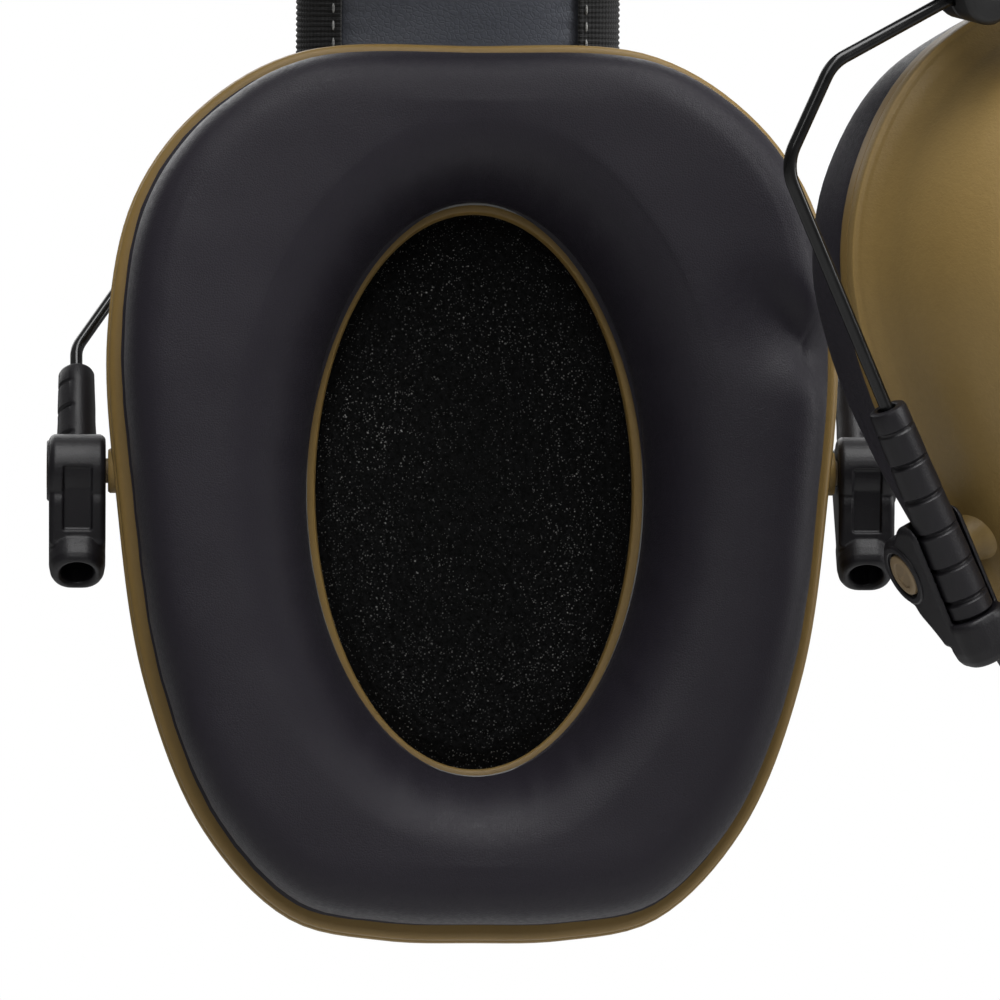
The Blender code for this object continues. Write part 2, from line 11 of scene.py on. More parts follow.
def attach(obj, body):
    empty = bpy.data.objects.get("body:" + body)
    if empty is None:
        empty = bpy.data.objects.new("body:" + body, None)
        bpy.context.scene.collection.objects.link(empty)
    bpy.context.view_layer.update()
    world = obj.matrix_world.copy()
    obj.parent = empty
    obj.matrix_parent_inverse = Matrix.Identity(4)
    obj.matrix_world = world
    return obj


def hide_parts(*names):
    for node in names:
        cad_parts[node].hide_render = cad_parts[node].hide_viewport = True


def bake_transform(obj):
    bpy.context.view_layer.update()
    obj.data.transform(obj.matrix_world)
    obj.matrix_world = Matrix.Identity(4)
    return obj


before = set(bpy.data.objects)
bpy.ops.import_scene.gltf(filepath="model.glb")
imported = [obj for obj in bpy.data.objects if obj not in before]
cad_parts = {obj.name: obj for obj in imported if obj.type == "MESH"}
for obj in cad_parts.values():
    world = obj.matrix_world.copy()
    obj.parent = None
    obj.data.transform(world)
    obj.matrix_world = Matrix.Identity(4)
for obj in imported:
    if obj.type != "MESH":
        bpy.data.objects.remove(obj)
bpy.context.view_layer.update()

MM = 0.001

# ---------------------------------------------------------------- dimensions
BAND_HALF, CROWN_Z, BAND_SPRING_Z, BAND_END_Z = 94.4, 119.2, 52.5, 48.9
BAND_WIDTH, HEM_Y, SPRING_Y, SPRING_R = 40.3, 14.7, 9.0, 0.8
TWIST_DEG, TWIST_TILT_DEG, TWIST_YAW_DEG = 38.7, 38.6, 30.0
TWIST_CENTRE = (20.1, -36.1, 151.9)
TWIST_SPAN = 78.0
CROSS_Z, BLOCK_HALF_Y, BLOCK_LOW, BLOCK_TOP = 38.33, 21.5, 34.3, 48.5
BLOCK_HALF_X, BLOCK_SPLIT, SCREW_Y, SCREW_Z = 4.0, 0.15, 15.5, 44.4
WIRE_R, WIRE_SHOULDER_Y, LEG_Y, LEG_START, LEG_END = 0.75, 37.7, 47.6, 7.7, 59.0
PINCH, PINCH_LOW = {"left": 10.4, "right": 0.0}, 26.8
FOLD = {"left": 35.0, "right": -5.0}
REACH = {"left": 50.8, "right": 57.8}
TILT = {"left": 0.0, "right": -9.7}
LEG_OFFSET = 5.7
SLEEVE_TOP, SLEEVE_BOTTOM = 20.0, -5.7
GROOVES = (13.4, 9.1, 4.8, 0.5, -3.6)
ARM_Y0, ARM_Y1, CAP_Y, EAR_R = 44.2, 51.0, 47.9, 4.4
KNUCKLE_LOW, KNUCKLE_TOP = -11.5, -6.0
OUTLINE = ((0.0, 54.35), (21.4, 53.4), (33.5, 46.2), (41.1, 35.4), (44.1, 19.0),
           (42.9, -0.8), (39.6, -22.5), (32.4, -40.5), (22.0, -51.2),
           (10.8, -53.7), (0.0, -54.0))
OUTLINE_DROP, OPEN_Z = -2.9, -2.65
OPEN_A, OPEN_B, HOLE_A, HOLE_B = 20.35, 34.5, 19.1, 33.5
FACE_X, BOSS_R = -20.0, 2.7
N = 176

# ----------------------------------------------------------- frames and twist
_al, _be = math.radians(TWIST_TILT_DEG), math.radians(TWIST_YAW_DEG)
AXIS = np.array([math.cos(_al) * math.cos(_be), math.sin(_be),
                 math.sin(_al) * math.cos(_be)])
CENTRE = np.array(TWIST_CENTRE)


def rodrigues(pts, angle, centre=CENTRE, axis=AXIS):
    """Turns points about the twist axis; angle may differ for each point."""
    p = np.asarray(pts, float) - centre
    a = np.asarray(angle, float).reshape(-1, 1)
    c, s = np.cos(a), np.sin(a)
    cross = np.cross(np.broadcast_to(axis, p.shape), p)
    dot = (p @ axis).reshape(-1, 1)
    return p * c + cross * s + axis * dot * (1 - c) + centre


def band_place(pts):
    pts = np.asarray(pts, float)
    t = np.clip((pts[:, 0] + TWIST_SPAN) / (2 * TWIST_SPAN), 0, 1)
    w = t * t * (3 - 2 * t)
    return rodrigues(pts, w * math.radians(TWIST_DEG))


def matrix_place(m):
    a = np.array(m)

    def run(pts):
        pts = np.asarray(pts, float)
        return pts @ a[:3, :3].T + a[:3, 3]
    return run


def twist_matrix():
    c = Vector(TWIST_CENTRE)
    return (Matrix.Translation(c)
            @ Matrix.Rotation(math.radians(TWIST_DEG), 4, Vector(AXIS))
            @ Matrix.Translation(-c))


def side_frames(tag):
    side = (Matrix.Rotation(math.pi, 4, "Z") if tag == "left"
            else twist_matrix())
    fold = (Matrix.Translation((BAND_HALF, 0.0, CROSS_Z))
            @ Matrix.Rotation(math.radians(FOLD[tag]), 4, "Y"))
    carriage = fold @ Matrix.Translation((-LEG_OFFSET, 0.0, -REACH[tag]))
    cup = (Matrix.Translation(carriage.translation)
           @ Matrix.Rotation(math.radians(TILT[tag]), 4, "Y"))
    return {"block": matrix_place(side), "yoke": matrix_place(side @ fold),
            "carriage": matrix_place(side @ carriage),
            "cup": matrix_place(side @ cup)}


# ----------------------------------------------------------------- mesh tools


def grid_faces(rows, n, cyclic_rows=False, cyclic_cols=True):
    faces = []
    last = rows if cyclic_rows else rows - 1
    cols = n if cyclic_cols else n - 1
    for i in range(last):
        a, b = i * n, ((i + 1) % rows) * n
        for k in range(cols):
            j = (k + 1) % n
            faces.append((a + k, a + j, b + j, b + k))
    return faces


def loft(rings, cyclic=False, caps=True):
    n = len(rings[0])
    verts = np.array([p for r in rings for p in r], float)
    faces = grid_faces(len(rings), n, cyclic)
    if caps and not cyclic:
        faces.append(tuple(range(n)))
        faces.append(tuple((len(rings) - 1) * n + k for k in range(n)))
    return verts, faces


def spline(points, per, closed=False):
    """Points along a Catmull-Rom curve; points may have any dimension."""
    p = np.array(points, float)
    m = len(p)
    out = []
    spans = m if closed else m - 1
    for i in range(spans):
        if closed:
            p0, p1, p2, p3 = (p[(i + k - 1) % m] for k in range(4))
        else:
            p0, p1 = p[max(i - 1, 0)], p[i]
            p2, p3 = p[i + 1], p[min(i + 2, m - 1)]
        for k in range(per):
            t = k / per
            out.append(0.5 * (2 * p1 + (p2 - p0) * t
                              + (2 * p0 - 5 * p1 + 4 * p2 - p3) * t * t
                              + (3 * p1 - p0 - 3 * p2 + p3) * t ** 3))
    if not closed:
        out.append(p[-1])
    return np.array(out)


def smooth_loft(rings, per, closed):
    """A loft whose rings are joined by curves instead of straight steps."""
    arr = np.array(rings, float)
    fine = spline(arr.reshape(len(arr), -1), per, closed)
    return [r for r in fine.reshape(len(fine), -1, 3)]


def lathe_points(profile, n, axis="Z", at=(0.0, 0.0, 0.0)):
    rings = []
    a = 2 * math.pi * np.arange(n) / n
    for r, h in profile:
        c, s = r * np.cos(a), r * np.sin(a)
        hh = np.full(n, float(h))
        p = {"Z": (c, s, hh), "Y": (s, hh, c), "X": (hh, c, s)}[axis]
        rings.append(np.stack(p, 1) + np.array(at))
    return rings


def lathe(profile, n=40, axis="Z", at=(0.0, 0.0, 0.0), cyclic=True):
    return loft(lathe_points(profile, n, axis, at), cyclic)


def rounded_rect(hx, hy, r, per=8):
    pts = []
    for cx, cy, a0 in ((hx - r, hy - r, 0), (-hx + r, hy - r, 90),
                       (-hx + r, -hy + r, 180), (hx - r, -hy + r, 270)):
        for k in range(per + 1):
            a = math.radians(a0 + 90.0 * k / per)
            pts.append((cx + r * math.cos(a), cy + r * math.sin(a)))
    return pts


def flip(shape):
    v, f = shape
    v = np.array(v, float)
    v[:, 1] *= -1
    return v, f


def raw(name, shape, place, sharp=35.0, uv=None):
    verts, faces = shape
    pts = place(verts) * MM
    me = bpy.data.meshes.new(name)
    me.from_pydata(pts.tolist(), [], faces)
    if uv is not None:
        layer = me.uv_layers.new(name="UVMap")
        idx = np.empty(len(me.loops), np.int32)
        me.loops.foreach_get("vertex_index", idx)
        layer.data.foreach_set("uv", np.asarray(uv, np.float32)[idx].ravel())
    bm = bmesh.new()
    bm.from_mesh(me)
    bmesh.ops.recalc_face_normals(bm, faces=bm.faces)
    bm.to_mesh(me)
    bm.free()
    me.polygons.foreach_set("use_smooth", [True] * len(me.polygons))
    me.set_sharp_from_angle(angle=math.radians(sharp))
    me.update()
    ob = bpy.data.objects.new(name, me)
    bpy.context.scene.collection.objects.link(ob)
    return ob


def dress(ob, mat, body=None, stands=()):
    ob.data.materials.clear()
    ob.data.materials.append(mat)
    if body:
        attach(ob, body)
    if stands:
        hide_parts(*stands)
    return ob


def cut(ob, shape, place, operation="DIFFERENCE"):
    tool = raw("tool", shape, place)
    mod = ob.modifiers.new("cut", "BOOLEAN")
    mod.solver, mod.operation, mod.object = "EXACT", operation, tool
    swap_for_evaluated(ob)
    bpy.data.objects.remove(tool, do_unlink=True)


def swap_for_evaluated(ob, sharp=35.0):
    dg = bpy.context.evaluated_depsgraph_get()
    me = bpy.data.meshes.new_from_object(ob.evaluated_get(dg))
    ob.modifiers.clear()
    old = ob.data
    ob.data = me
    bpy.data.meshes.remove(old)
    me.polygons.foreach_set("use_smooth", [True] * len(me.polygons))
    me.set_sharp_from_angle(angle=math.radians(sharp))
    me.update()


def soften(ob, voxel, rounds, sharp=60.0):
    """Rounds a cut solid all over, as a moulding's edges are."""
    m = ob.modifiers.new("r", "REMESH")
    m.mode, m.voxel_size = "VOXEL", voxel * MM
    s = ob.modifiers.new("s", "SMOOTH")
    s.factor, s.iterations = 0.5, rounds
    swap_for_evaluated(ob, sharp)


def noise3(p, scale, seed=0):
    """Cheap smooth noise from a few fixed waves, about -1 to 1."""
    rng = np.random.RandomState(seed)
    out = np.zeros(len(p))
    for _ in range(7):
        k = rng.normal(size=3) * scale
        out += np.sin(p @ k + rng.uniform(0, 6.28))
    return out / 3.5


# --------------------------------------------------------------- cup outlines


def outline_points(n):
    ctrl = list(OUTLINE)
    full = ctrl + [(-w, z) for w, z in reversed(ctrl[1:-1])]
    m = len(full)
    dense = []
    for i in range(len(ctrl) - 1):
        p0, p1, p2, p3 = (np.array(full[(i + k - 1) % m]) for k in range(4))
        t0, t1 = 0.0, np.linalg.norm(p1 - p0) ** 0.5
        t2 = t1 + np.linalg.norm(p2 - p1) ** 0.5
        t3 = t2 + np.linalg.norm(p3 - p2) ** 0.5
        for k in range(60):
            t = t1 + (t2 - t1) * k / 60.0
            a1 = p0 * ((t1 - t) / (t1 - t0)) + p1 * ((t - t0) / (t1 - t0))
            a2 = p1 * ((t2 - t) / (t2 - t1)) + p2 * ((t - t1) / (t2 - t1))
            a3 = p2 * ((t3 - t) / (t3 - t2)) + p3 * ((t - t2) / (t3 - t2))
            b1 = a1 * ((t2 - t) / (t2 - t0)) + a2 * ((t - t0) / (t2 - t0))
            b2 = a2 * ((t3 - t) / (t3 - t1)) + a3 * ((t - t1) / (t3 - t1))
            dense.append(b1 * ((t2 - t) / (t2 - t1))
                         + b2 * ((t - t1) / (t2 - t1)))
    dense.append(np.array(ctrl[-1], float))
    dense = np.array(dense)
    run = np.concatenate([[0], np.cumsum(np.linalg.norm(
        np.diff(dense, axis=0), axis=1))])
    s = np.linspace(0, run[-1], n // 2 + 1)
    half = np.stack([np.interp(s, run, dense[:, 0]),
                     np.interp(s, run, dense[:, 1])], 1)
    other = half[1:-1][::-1] * np.array([-1, 1])
    return np.concatenate([half, other])


BASE = outline_points(N)
_t = np.roll(BASE, -1, 0) - np.roll(BASE, 1, 0)
_t /= np.linalg.norm(_t, axis=1, keepdims=True)
NORMAL = np.stack([-_t[:, 1], _t[:, 0]], 1)
NORMAL *= np.sign((NORMAL * BASE).sum(1, keepdims=True))
for _ in range(6):
    NORMAL = NORMAL + 0.5 * (np.roll(NORMAL, 1, 0) + np.roll(NORMAL, -1, 0))
    NORMAL /= np.linalg.norm(NORMAL, axis=1, keepdims=True)


def cup_ring(x, inset=0.0, scale=1.0):
    p = (BASE - NORMAL * inset) * scale
    return np.stack([np.full(N, float(x)), p[:, 0], p[:, 1] + OUTLINE_DROP], 1)


def open_ring(x, a, b, n=N):
    t = 2 * math.pi * np.arange(n) / n
    return np.stack([np.full(n, float(x)), a * np.sin(t),
                     b * np.cos(t) + OPEN_Z], 1)


# ------------------------------------------------------------------ materials


class Nodes:
    def __init__(self, name):
        self.m = bpy.data.materials.new(name)
        self.m.use_nodes = True
        self.t = self.m.node_tree
        self.b = self.t.nodes["Principled BSDF"]

    def add(self, kind, **inputs):
        n = self.t.nodes.new(kind)
        for k, v in inputs.items():
            if k in ("operation", "data_type", "blend_type", "feature",
                     "noise_dimensions", "wave_type", "bands_direction",
                     "voronoi_dimensions", "vector_type", "invert",
                     "wave_profile"):
                setattr(n, k, v)
            else:
                sock = n.inputs[int(k[1:])] if k[0] == "i" and k[1:].isdigit() \
                    else n.inputs[k.replace("_", " ")]
                if hasattr(v, "is_output"):
                    self.t.links.new(v, sock)
                else:
                    sock.default_value = v
        return n

    def coords(self, uv=False):
        c = self.add("ShaderNodeTexCoord")
        return c.outputs["UV" if uv else "Object"]

    def noise(self, vec, scale, detail=3.0, rough=0.55):
        n = self.add("ShaderNodeTexNoise", Vector=vec, Scale=scale,
                     Detail=detail, Roughness=rough)
        return n.outputs["Fac"]

    def remap(self, val, a, b, c, d):
        n = self.add("ShaderNodeMapRange", Value=val)
        n.inputs["From Min"].default_value = a
        n.inputs["From Max"].default_value = b
        n.inputs["To Min"].default_value = c
        n.inputs["To Max"].default_value = d
        return n.outputs["Result"]

    def mix(self, fac, a, b):
        n = self.t.nodes.new("ShaderNodeMix")
        n.data_type = "RGBA"
        for sock, v in ((n.inputs[0], fac), (n.inputs[6], a), (n.inputs[7], b)):
            if hasattr(v, "is_output"):
                self.t.links.new(v, sock)
            elif isinstance(v, (int, float)):
                sock.default_value = v
            else:
                sock.default_value = (*v, 1.0)
        return n.outputs[2]

    def math(self, op, a, b=0.0):
        n = self.t.nodes.new("ShaderNodeMath")
        n.operation = op
        for sock, v in ((n.inputs[0], a), (n.inputs[1], b)):
            if hasattr(v, "is_output"):
                self.t.links.new(v, sock)
            else:
                sock.default_value = v
        return n.outputs[0]

    def bump(self, height, strength, distance, before=None):
        n = self.add("ShaderNodeBump", Height=height, Strength=strength,
                     Distance=distance)
        if before is not None:
            self.t.links.new(before, n.inputs["Normal"])
        return n.outputs["Normal"]

    def out(self, **inputs):
        for k, v in inputs.items():
            sock = self.b.inputs[k.replace("_", " ")]
            if hasattr(v, "is_output"):
                self.t.links.new(v, sock)
            else:
                sock.default_value = v
        return self.m


def moulded(name, dark, light, rough=0.46, grain=4200.0, depth=0.00003,
            strength=0.35, spec=0.45):
    n = Nodes(name)
    v = n.coords()
    broad = n.noise(v, 55.0, 4.0)
    fine = n.noise(v, grain, 2.0, 0.6)
    speck = n.noise(v, 1300.0, 3.0, 0.6)
    col = n.mix(n.remap(broad, 0.3, 0.7, 0.0, 1.0), dark, light)
    col = n.mix(n.remap(speck, 0.35, 0.75, 0.0, 0.16), col,
                tuple(min(1.0, c * 1.35) for c in light))
    # painted highlight: sharp convex edges (high pointiness) are painted lighter
    edge = n.add("ShaderNodeNewGeometry").outputs["Pointiness"]
    col = n.mix(n.remap(edge, 0.51, 0.56, 0.0, 0.35), col,
                tuple(min(1.0, c * 1.5) for c in light))
    r = n.remap(broad, 0.3, 0.7, rough - 0.05, rough + 0.06)
    b = n.bump(fine, strength, depth)
    b = n.bump(speck, strength * 0.5, depth * 1.5, b)
    return n.out(Base_Color=col, Roughness=r, Normal=b,
                 Specular_IOR_Level=spec)


def leather(name, dark, light, rough=0.45, scale=1500.0, depth=0.00006,
            sheen=0.08, uv=False, spec=0.4):
    n = Nodes(name)
    v = n.coords(uv)
    warp = n.noise(v, scale * 0.5, 2.0)
    cell = n.add("ShaderNodeTexVoronoi", feature="DISTANCE_TO_EDGE",
                 Vector=v, Scale=scale).outputs["Distance"]
    crease = n.remap(cell, 0.0, 0.16, 0.0, 1.0)
    broad = n.noise(v, 38.0, 4.0)
    pores = n.noise(v, scale * 3.1, 3.0, 0.6)
    col = n.mix(n.remap(broad, 0.3, 0.7, 0.0, 1.0), dark, light)
    # painted shade: the grain creases are darkened in the colour
    col = n.mix(n.remap(crease, 0.0, 1.0, 0.30, 0.0), col,
                tuple(c * 0.45 for c in dark))
    r = n.remap(warp, 0.3, 0.7, rough - 0.05, rough + 0.08)
    b = n.bump(crease, 0.30, depth)
    b = n.bump(pores, 0.25, depth * 0.7, b)
    b = n.bump(broad, 0.20, 0.0006, b)
    return n.out(Base_Color=col, Roughness=r, Normal=b, Sheen_Weight=sheen,
                 Sheen_Roughness=0.4, Specular_IOR_Level=spec)


def foam_look(name, glint=1.0):
    """Open-cell foam: near black, painted darker in the pits as painted shade; small pale dots in the colour
    are painted glints on the cell walls.
    """
    n = Nodes(name)
    v = n.coords()
    total = None
    for scale, lo, size, amount in ((1800.0, 0.91, 0.27, 0.50),
                                    (2700.0, 0.81, 0.31, 0.36),
                                    (4100.0, 0.68, 0.36, 0.20)):
        cells = n.add("ShaderNodeTexVoronoi", feature="F1", Vector=v,
                      Scale=scale)
        sep = n.add("ShaderNodeSeparateColor", Color=cells.outputs["Color"])
        pick = n.remap(sep.outputs[0], lo, lo + 0.12, 0.0, 1.0)
        dot = n.remap(cells.outputs["Distance"], size * 0.35, size, 1.0, 0.0)
        one = n.math("MULTIPLY", n.math("MULTIPLY", pick, dot),
                     amount * glint)
        total = one if total is None else n.math("ADD", total, one)
    patch = n.remap(n.noise(v, 75.0, 3.0), 0.34, 0.66, 0.35, 1.0)
    # painted glints: pale dots, thinned in patches, mixed into the base colour
    painted_glints = n.math("MULTIPLY", total, patch)
    pores = n.noise(v, 1500.0, 4.0, 0.75)
    # painted shade: the pits of the pore noise are darker in the colour
    col = n.mix(n.remap(pores, 0.38, 0.68, 0.0, 1.0),
                (0.0005, 0.0005, 0.0005), (0.0050, 0.0050, 0.0052))
    col = n.mix(painted_glints, col, (0.75, 0.74, 0.72))
    b = n.bump(pores, 0.8, 0.0004)
    return n.out(Base_Color=col, Roughness=0.95, Normal=b,
                 Specular_IOR_Level=0.1)


def webbing(name, uv=True):
    """Ribbed narrow webbing, threads across the ribs."""
    n = Nodes(name)
    v = n.coords(uv)
    wave = n.add("ShaderNodeTexWave", Vector=v, Scale=640.0,
                 Distortion=0.5, Detail=1.0, bands_direction="Y")
    cross = n.add("ShaderNodeTexWave", Vector=v, Scale=1150.0,
                  Distortion=0.4, Detail=1.0, bands_direction="X")
    fuzz = n.noise(v, 5200.0, 3.0, 0.7)
    h = n.math("ADD", wave.outputs["Fac"], cross.outputs["Fac"])
    # the rib and thread pattern is drawn in the colour; its hollows are painted darker, painted shade
    col = n.mix(n.remap(h, 0.3, 1.7, 0.0, 1.0), (0.0018, 0.0018, 0.0018),
                (0.0125, 0.0125, 0.0130))
    col = n.mix(n.remap(fuzz, 0.55, 0.8, 0.0, 0.30), col,
                (0.032, 0.032, 0.033))
    b = n.bump(h, 0.5, 0.0001)
    b = n.bump(fuzz, 0.35, 0.00006, b)
    return n.out(Base_Color=col, Roughness=0.82, Normal=b, Sheen_Weight=0.12,
                 Sheen_Roughness=0.5, Specular_IOR_Level=0.25)


def weave(name):
    """Plain woven cover, over and under, about 0.6 mm a thread."""
    n = Nodes(name)
    v = n.coords(True)
    a = n.add("ShaderNodeTexWave", Vector=v, Scale=520.0, Distortion=0.3,
              Detail=1.0, bands_direction="X").outputs["Fac"]
    b2 = n.add("ShaderNodeTexWave", Vector=v, Scale=520.0, Distortion=0.3,
               Detail=1.0, bands_direction="Y").outputs["Fac"]
    h = n.math("MAXIMUM", a, b2)
    fuzz = n.noise(v, 3600.0, 3.0, 0.7)
    broad = n.noise(v, 60.0, 3.0)
    # the weave pattern is drawn in the colour; the hollows between threads are painted darker, painted shade
    col = n.mix(n.remap(h, 0.2, 1.0, 0.0, 1.0), (0.004, 0.004, 0.0042),
                (0.021, 0.021, 0.022))
    col = n.mix(n.remap(broad, 0.4, 0.7, 0.0, 0.35), col, (0.03, 0.03, 0.032))
    b = n.bump(h, 0.6, 0.00015)
    b = n.bump(fuzz, 0.35, 0.00006, b)
    return n.out(Base_Color=col, Roughness=0.85, Normal=b, Sheen_Weight=0.15,
                 Sheen_Roughness=0.5, Specular_IOR_Level=0.25)


def metal(name, dark, light, rough, metallic=1.0, scale=(60.0, 60.0, 1800.0),
          spec=0.5):
    n = Nodes(name)
    v = n.coords()
    mp = n.add("ShaderNodeMapping", Vector=v, Scale=scale)
    streak = n.noise(mp.outputs["Vector"], 1.0, 3.0)
    spots = n.noise(v, 900.0, 3.0)
    col = n.mix(n.remap(spots, 0.35, 0.7, 0.0, 1.0), dark, light)
    r = n.remap(streak, 0.3, 0.7, rough - 0.07, rough + 0.1)
    b = n.bump(streak, 0.15, 0.00003)
    return n.out(Base_Color=col, Roughness=r, Metallic=metallic, Normal=b,
                 Specular_IOR_Level=spec)


def thread_look(name):
    n = Nodes(name)
    v = n.coords()
    twist = n.noise(v, 4200.0, 2.0)
    col = n.mix(n.remap(twist, 0.35, 0.65, 0.0, 1.0), (0.10, 0.10, 0.10),
                (0.26, 0.26, 0.25))
    return n.out(Base_Color=col, Roughness=0.7,
                 Normal=n.bump(twist, 0.5, 0.0001), Sheen_Weight=0.1)


SHELL = moulded("coyote_shell", (0.172, 0.111, 0.035), (0.190, 0.125, 0.041),
                rough=0.44, grain=3400.0, depth=0.00007, strength=0.65,
                spec=0.30)
PLATE = moulded("coyote_plate", (0.142, 0.089, 0.024), (0.164, 0.104, 0.031),
                rough=0.45, depth=0.00003, spec=0.30)
PIN = moulded("coyote_pin", (0.125, 0.085, 0.040), (0.165, 0.115, 0.058),
              rough=0.5)
CUSHION = leather("cushion_leather", (0.0104, 0.0086, 0.0134),
                  (0.0132, 0.0112, 0.0166), rough=0.48, scale=3000.0,
                  depth=0.00006, sheen=0.02, spec=0.25)
PAD = leather("pad_leather", (0.042, 0.047, 0.060), (0.066, 0.071, 0.086),
              rough=0.42, scale=1500.0, depth=0.00009, sheen=0.05, uv=True,
              spec=0.35)
FOAM = foam_look("open_cell_foam")
LINER = foam_look("liner_foam")
BINDING = webbing("binding_webbing")
COVER = weave("woven_cover")
THREAD = thread_look("grey_thread")
WIRE = metal("black_wire", (0.0018, 0.0018, 0.0018), (0.0042, 0.0042, 0.0044),
             0.19, 0.0, (120.0, 120.0, 120.0), spec=0.32)
STEEL = metal("spring_steel", (0.30, 0.30, 0.31), (0.42, 0.42, 0.43), 0.30)
ARM = moulded("arm_plastic", (0.0040, 0.0036, 0.0046),
              (0.0062, 0.0056, 0.0070), rough=0.42, grain=4300.0,
              depth=0.00005, strength=0.55, spec=0.26)
BLOCK = moulded("black_plastic", (0.0045, 0.0045, 0.0047),
                (0.0080, 0.0080, 0.0084), rough=0.42, grain=5200.0, spec=0.32)
EDGE = moulded("pale_grey_line", (0.075, 0.076, 0.074), (0.14, 0.14, 0.135),
               rough=0.5)
BUSH = moulded("nylon_bush", (0.27, 0.27, 0.25), (0.34, 0.34, 0.32),
               rough=0.5)

# ------------------------------------------------------------------- headband


def band_frame(count, low):
    """Evenly spaced (x, z, nx, nz, run) along the straight band."""
    b = CROWN_Z - BAND_SPRING_Z
    pts = [(BAND_HALF, low)]
    for k in range(401):
        a = math.pi * k / 400
        pts.append((BAND_HALF * math.cos(a), BAND_SPRING_Z + b * math.sin(a)))
    pts.append((-BAND_HALF, low))
    pts = np.array(pts)
    run = np.concatenate([[0], np.cumsum(np.linalg.norm(
        np.diff(pts, axis=0), axis=1))])
    s = np.linspace(0, run[-1], count)
    x, z = np.interp(s, run, pts[:, 0]), np.interp(s, run, pts[:, 1])
    ang = np.where(z <= BAND_SPRING_Z + 1e-6,
                   np.where(x > 0, 0.0, math.pi),
                   np.arctan2((z - BAND_SPRING_Z) / b, x / BAND_HALF))
    nx, nz = np.cos(ang) / BAND_HALF, np.sin(ang) / b
    ln = np.hypot(nx, nz)
    return x, z, nx / ln, nz / ln, s


def sweep(section, low, count, change=None, end_round=0.0):
    """section: (y, h) points; change(s, y, h) may move them along the run."""
    sec = np.array(section, float)
    x, z, nx, nz, s = band_frame(count, low)
    n = len(sec)
    y = np.tile(sec[:, 0], (count, 1))
    h = np.tile(sec[:, 1], (count, 1))
    if end_round > 0:
        e = np.minimum(s, s[-1] - s)
        f = np.sqrt(np.clip(1 - (1 - np.clip(e / end_round, 0, 1)) ** 2, 0, 1))
        f = 0.55 + 0.45 * f
        mid = 0.5 * (sec[:, 1].max() + sec[:, 1].min())
        h = mid + (h - mid) * f[:, None]
    if change is not None:
        y, h = change(s[:, None], y, h)
    v = np.stack([x[:, None] + nx[:, None] * h, y,
                  z[:, None] + nz[:, None] * h], 2).reshape(-1, 3)
    faces = grid_faces(count, n)
    faces.append(tuple(range(n)))
    faces.append(tuple((count - 1) * n + k for k in range(n)))
    around = np.concatenate([[0], np.cumsum(np.linalg.norm(
        np.diff(sec, axis=0), axis=1))]) * MM
    uv = np.stack([np.repeat(s * MM, n), np.tile(around, count)], 1)
    return (v, faces), uv, s


def band_piece(name, shape, uv, mat, stands, sharp=40.0):
    ob = raw(name, shape, band_place, sharp, uv)
    dress(ob, mat, stands=stands)
    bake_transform(ob)
    return ob


pad_sec = spline([(16.8, -1.3), (16.9, -2.2), (15.8, -3.6), (13.5, -4.7),
                  (10.4, -5.35), (5.7, -5.8), (0.0, -5.95), (-5.7, -5.8),
                  (-10.4, -5.35), (-13.5, -4.7), (-15.8, -3.6), (-16.9, -2.2),
                  (-16.8, -1.3), (-9.0, -1.2), (0.0, -1.2), (9.0, -1.2)], 5,
                 True)


def pad_soft(s, y, h):
    under = np.clip((-h - 2.0) / 3.0, 0, 1)
    puff = 0.22 * np.sin(s / 7.3 + 0.6) * np.sin(s / 3.1) \
        + 0.14 * np.sin(s / 1.9 + y / 5.0)
    # shallow gathers where the pad meets the hems
    near = np.clip((np.abs(y) - 10.0) / 4.7, 0, 1)
    gather = 0.20 * near * np.sin(s * 2.1 + 0.8 * np.sin(s / 4.0)
                                  + np.sign(y) * 0.9)
    return y, h - under * (puff * 0.6 + gather * 0.7)


shape, uv, _ = sweep(pad_sec, BAND_END_Z, 300, pad_soft, 2.2)
pad = band_piece("soft_headband_pad", shape, uv, PAD, ["headband_inner_pad"],
                 70.0)

cover_sec = spline([(17.1, 1.2), (17.1, 2.3), (15.5, 3.0), (13.6, 3.6),
                    (6.7, 4.4), (0.0, 4.6), (-6.7, 4.4), (-13.6, 3.6),
                    (-15.5, 3.0), (-17.1, 2.3), (-17.1, 1.2), (-9.0, 1.2),
                    (0.0, 1.2), (9.0, 1.2)], 5, True)


def cover_soft(s, y, h):
    up = np.clip((h - 2.4) / 1.5, 0, 1)
    return y, h + up * (0.10 * np.sin(s / 6.1) + 0.06 * np.sin(s / 2.3 + y))


shape, uv, _ = sweep(cover_sec, BAND_END_Z, 260, cover_soft, 1.8)
cover = band_piece("band_outer_cover", shape, uv, COVER,
                   ["headband_outer_cover"], 70.0)

edge = BAND_WIDTH / 2
bind_half = [(HEM_Y, -4.55), (HEM_Y, -5.1), (HEM_Y + 0.25, -5.38),
             (15.2, -5.28), (15.75, -5.08), (16.3, -4.84), (17.0, -4.58),
             (17.6, -4.30), (18.3, -3.90), (18.9, -3.35), (19.8, -2.2), (20.1, -1.0), (20.15, 0.0), (20.1, 1.0),
             (19.8, 2.2), (18.9, 3.2), (18.3, 3.70), (17.6, 4.05),
             (17.0, 4.22), (16.3, 4.36), (15.75, 4.46), (15.2, 4.60),
             (HEM_Y + 0.25, 4.68), (HEM_Y, 4.45), (HEM_Y, 3.85),
             (16.1, 3.35), (17.4, 2.75), (17.4, 0.0), (17.4, -3.0),
             (15.9, -3.8)]
RIB = 0.70
x0, z0, nx0, nz0, run0 = band_frame(50, BAND_END_Z)
ribs = int(run0[-1] / RIB)
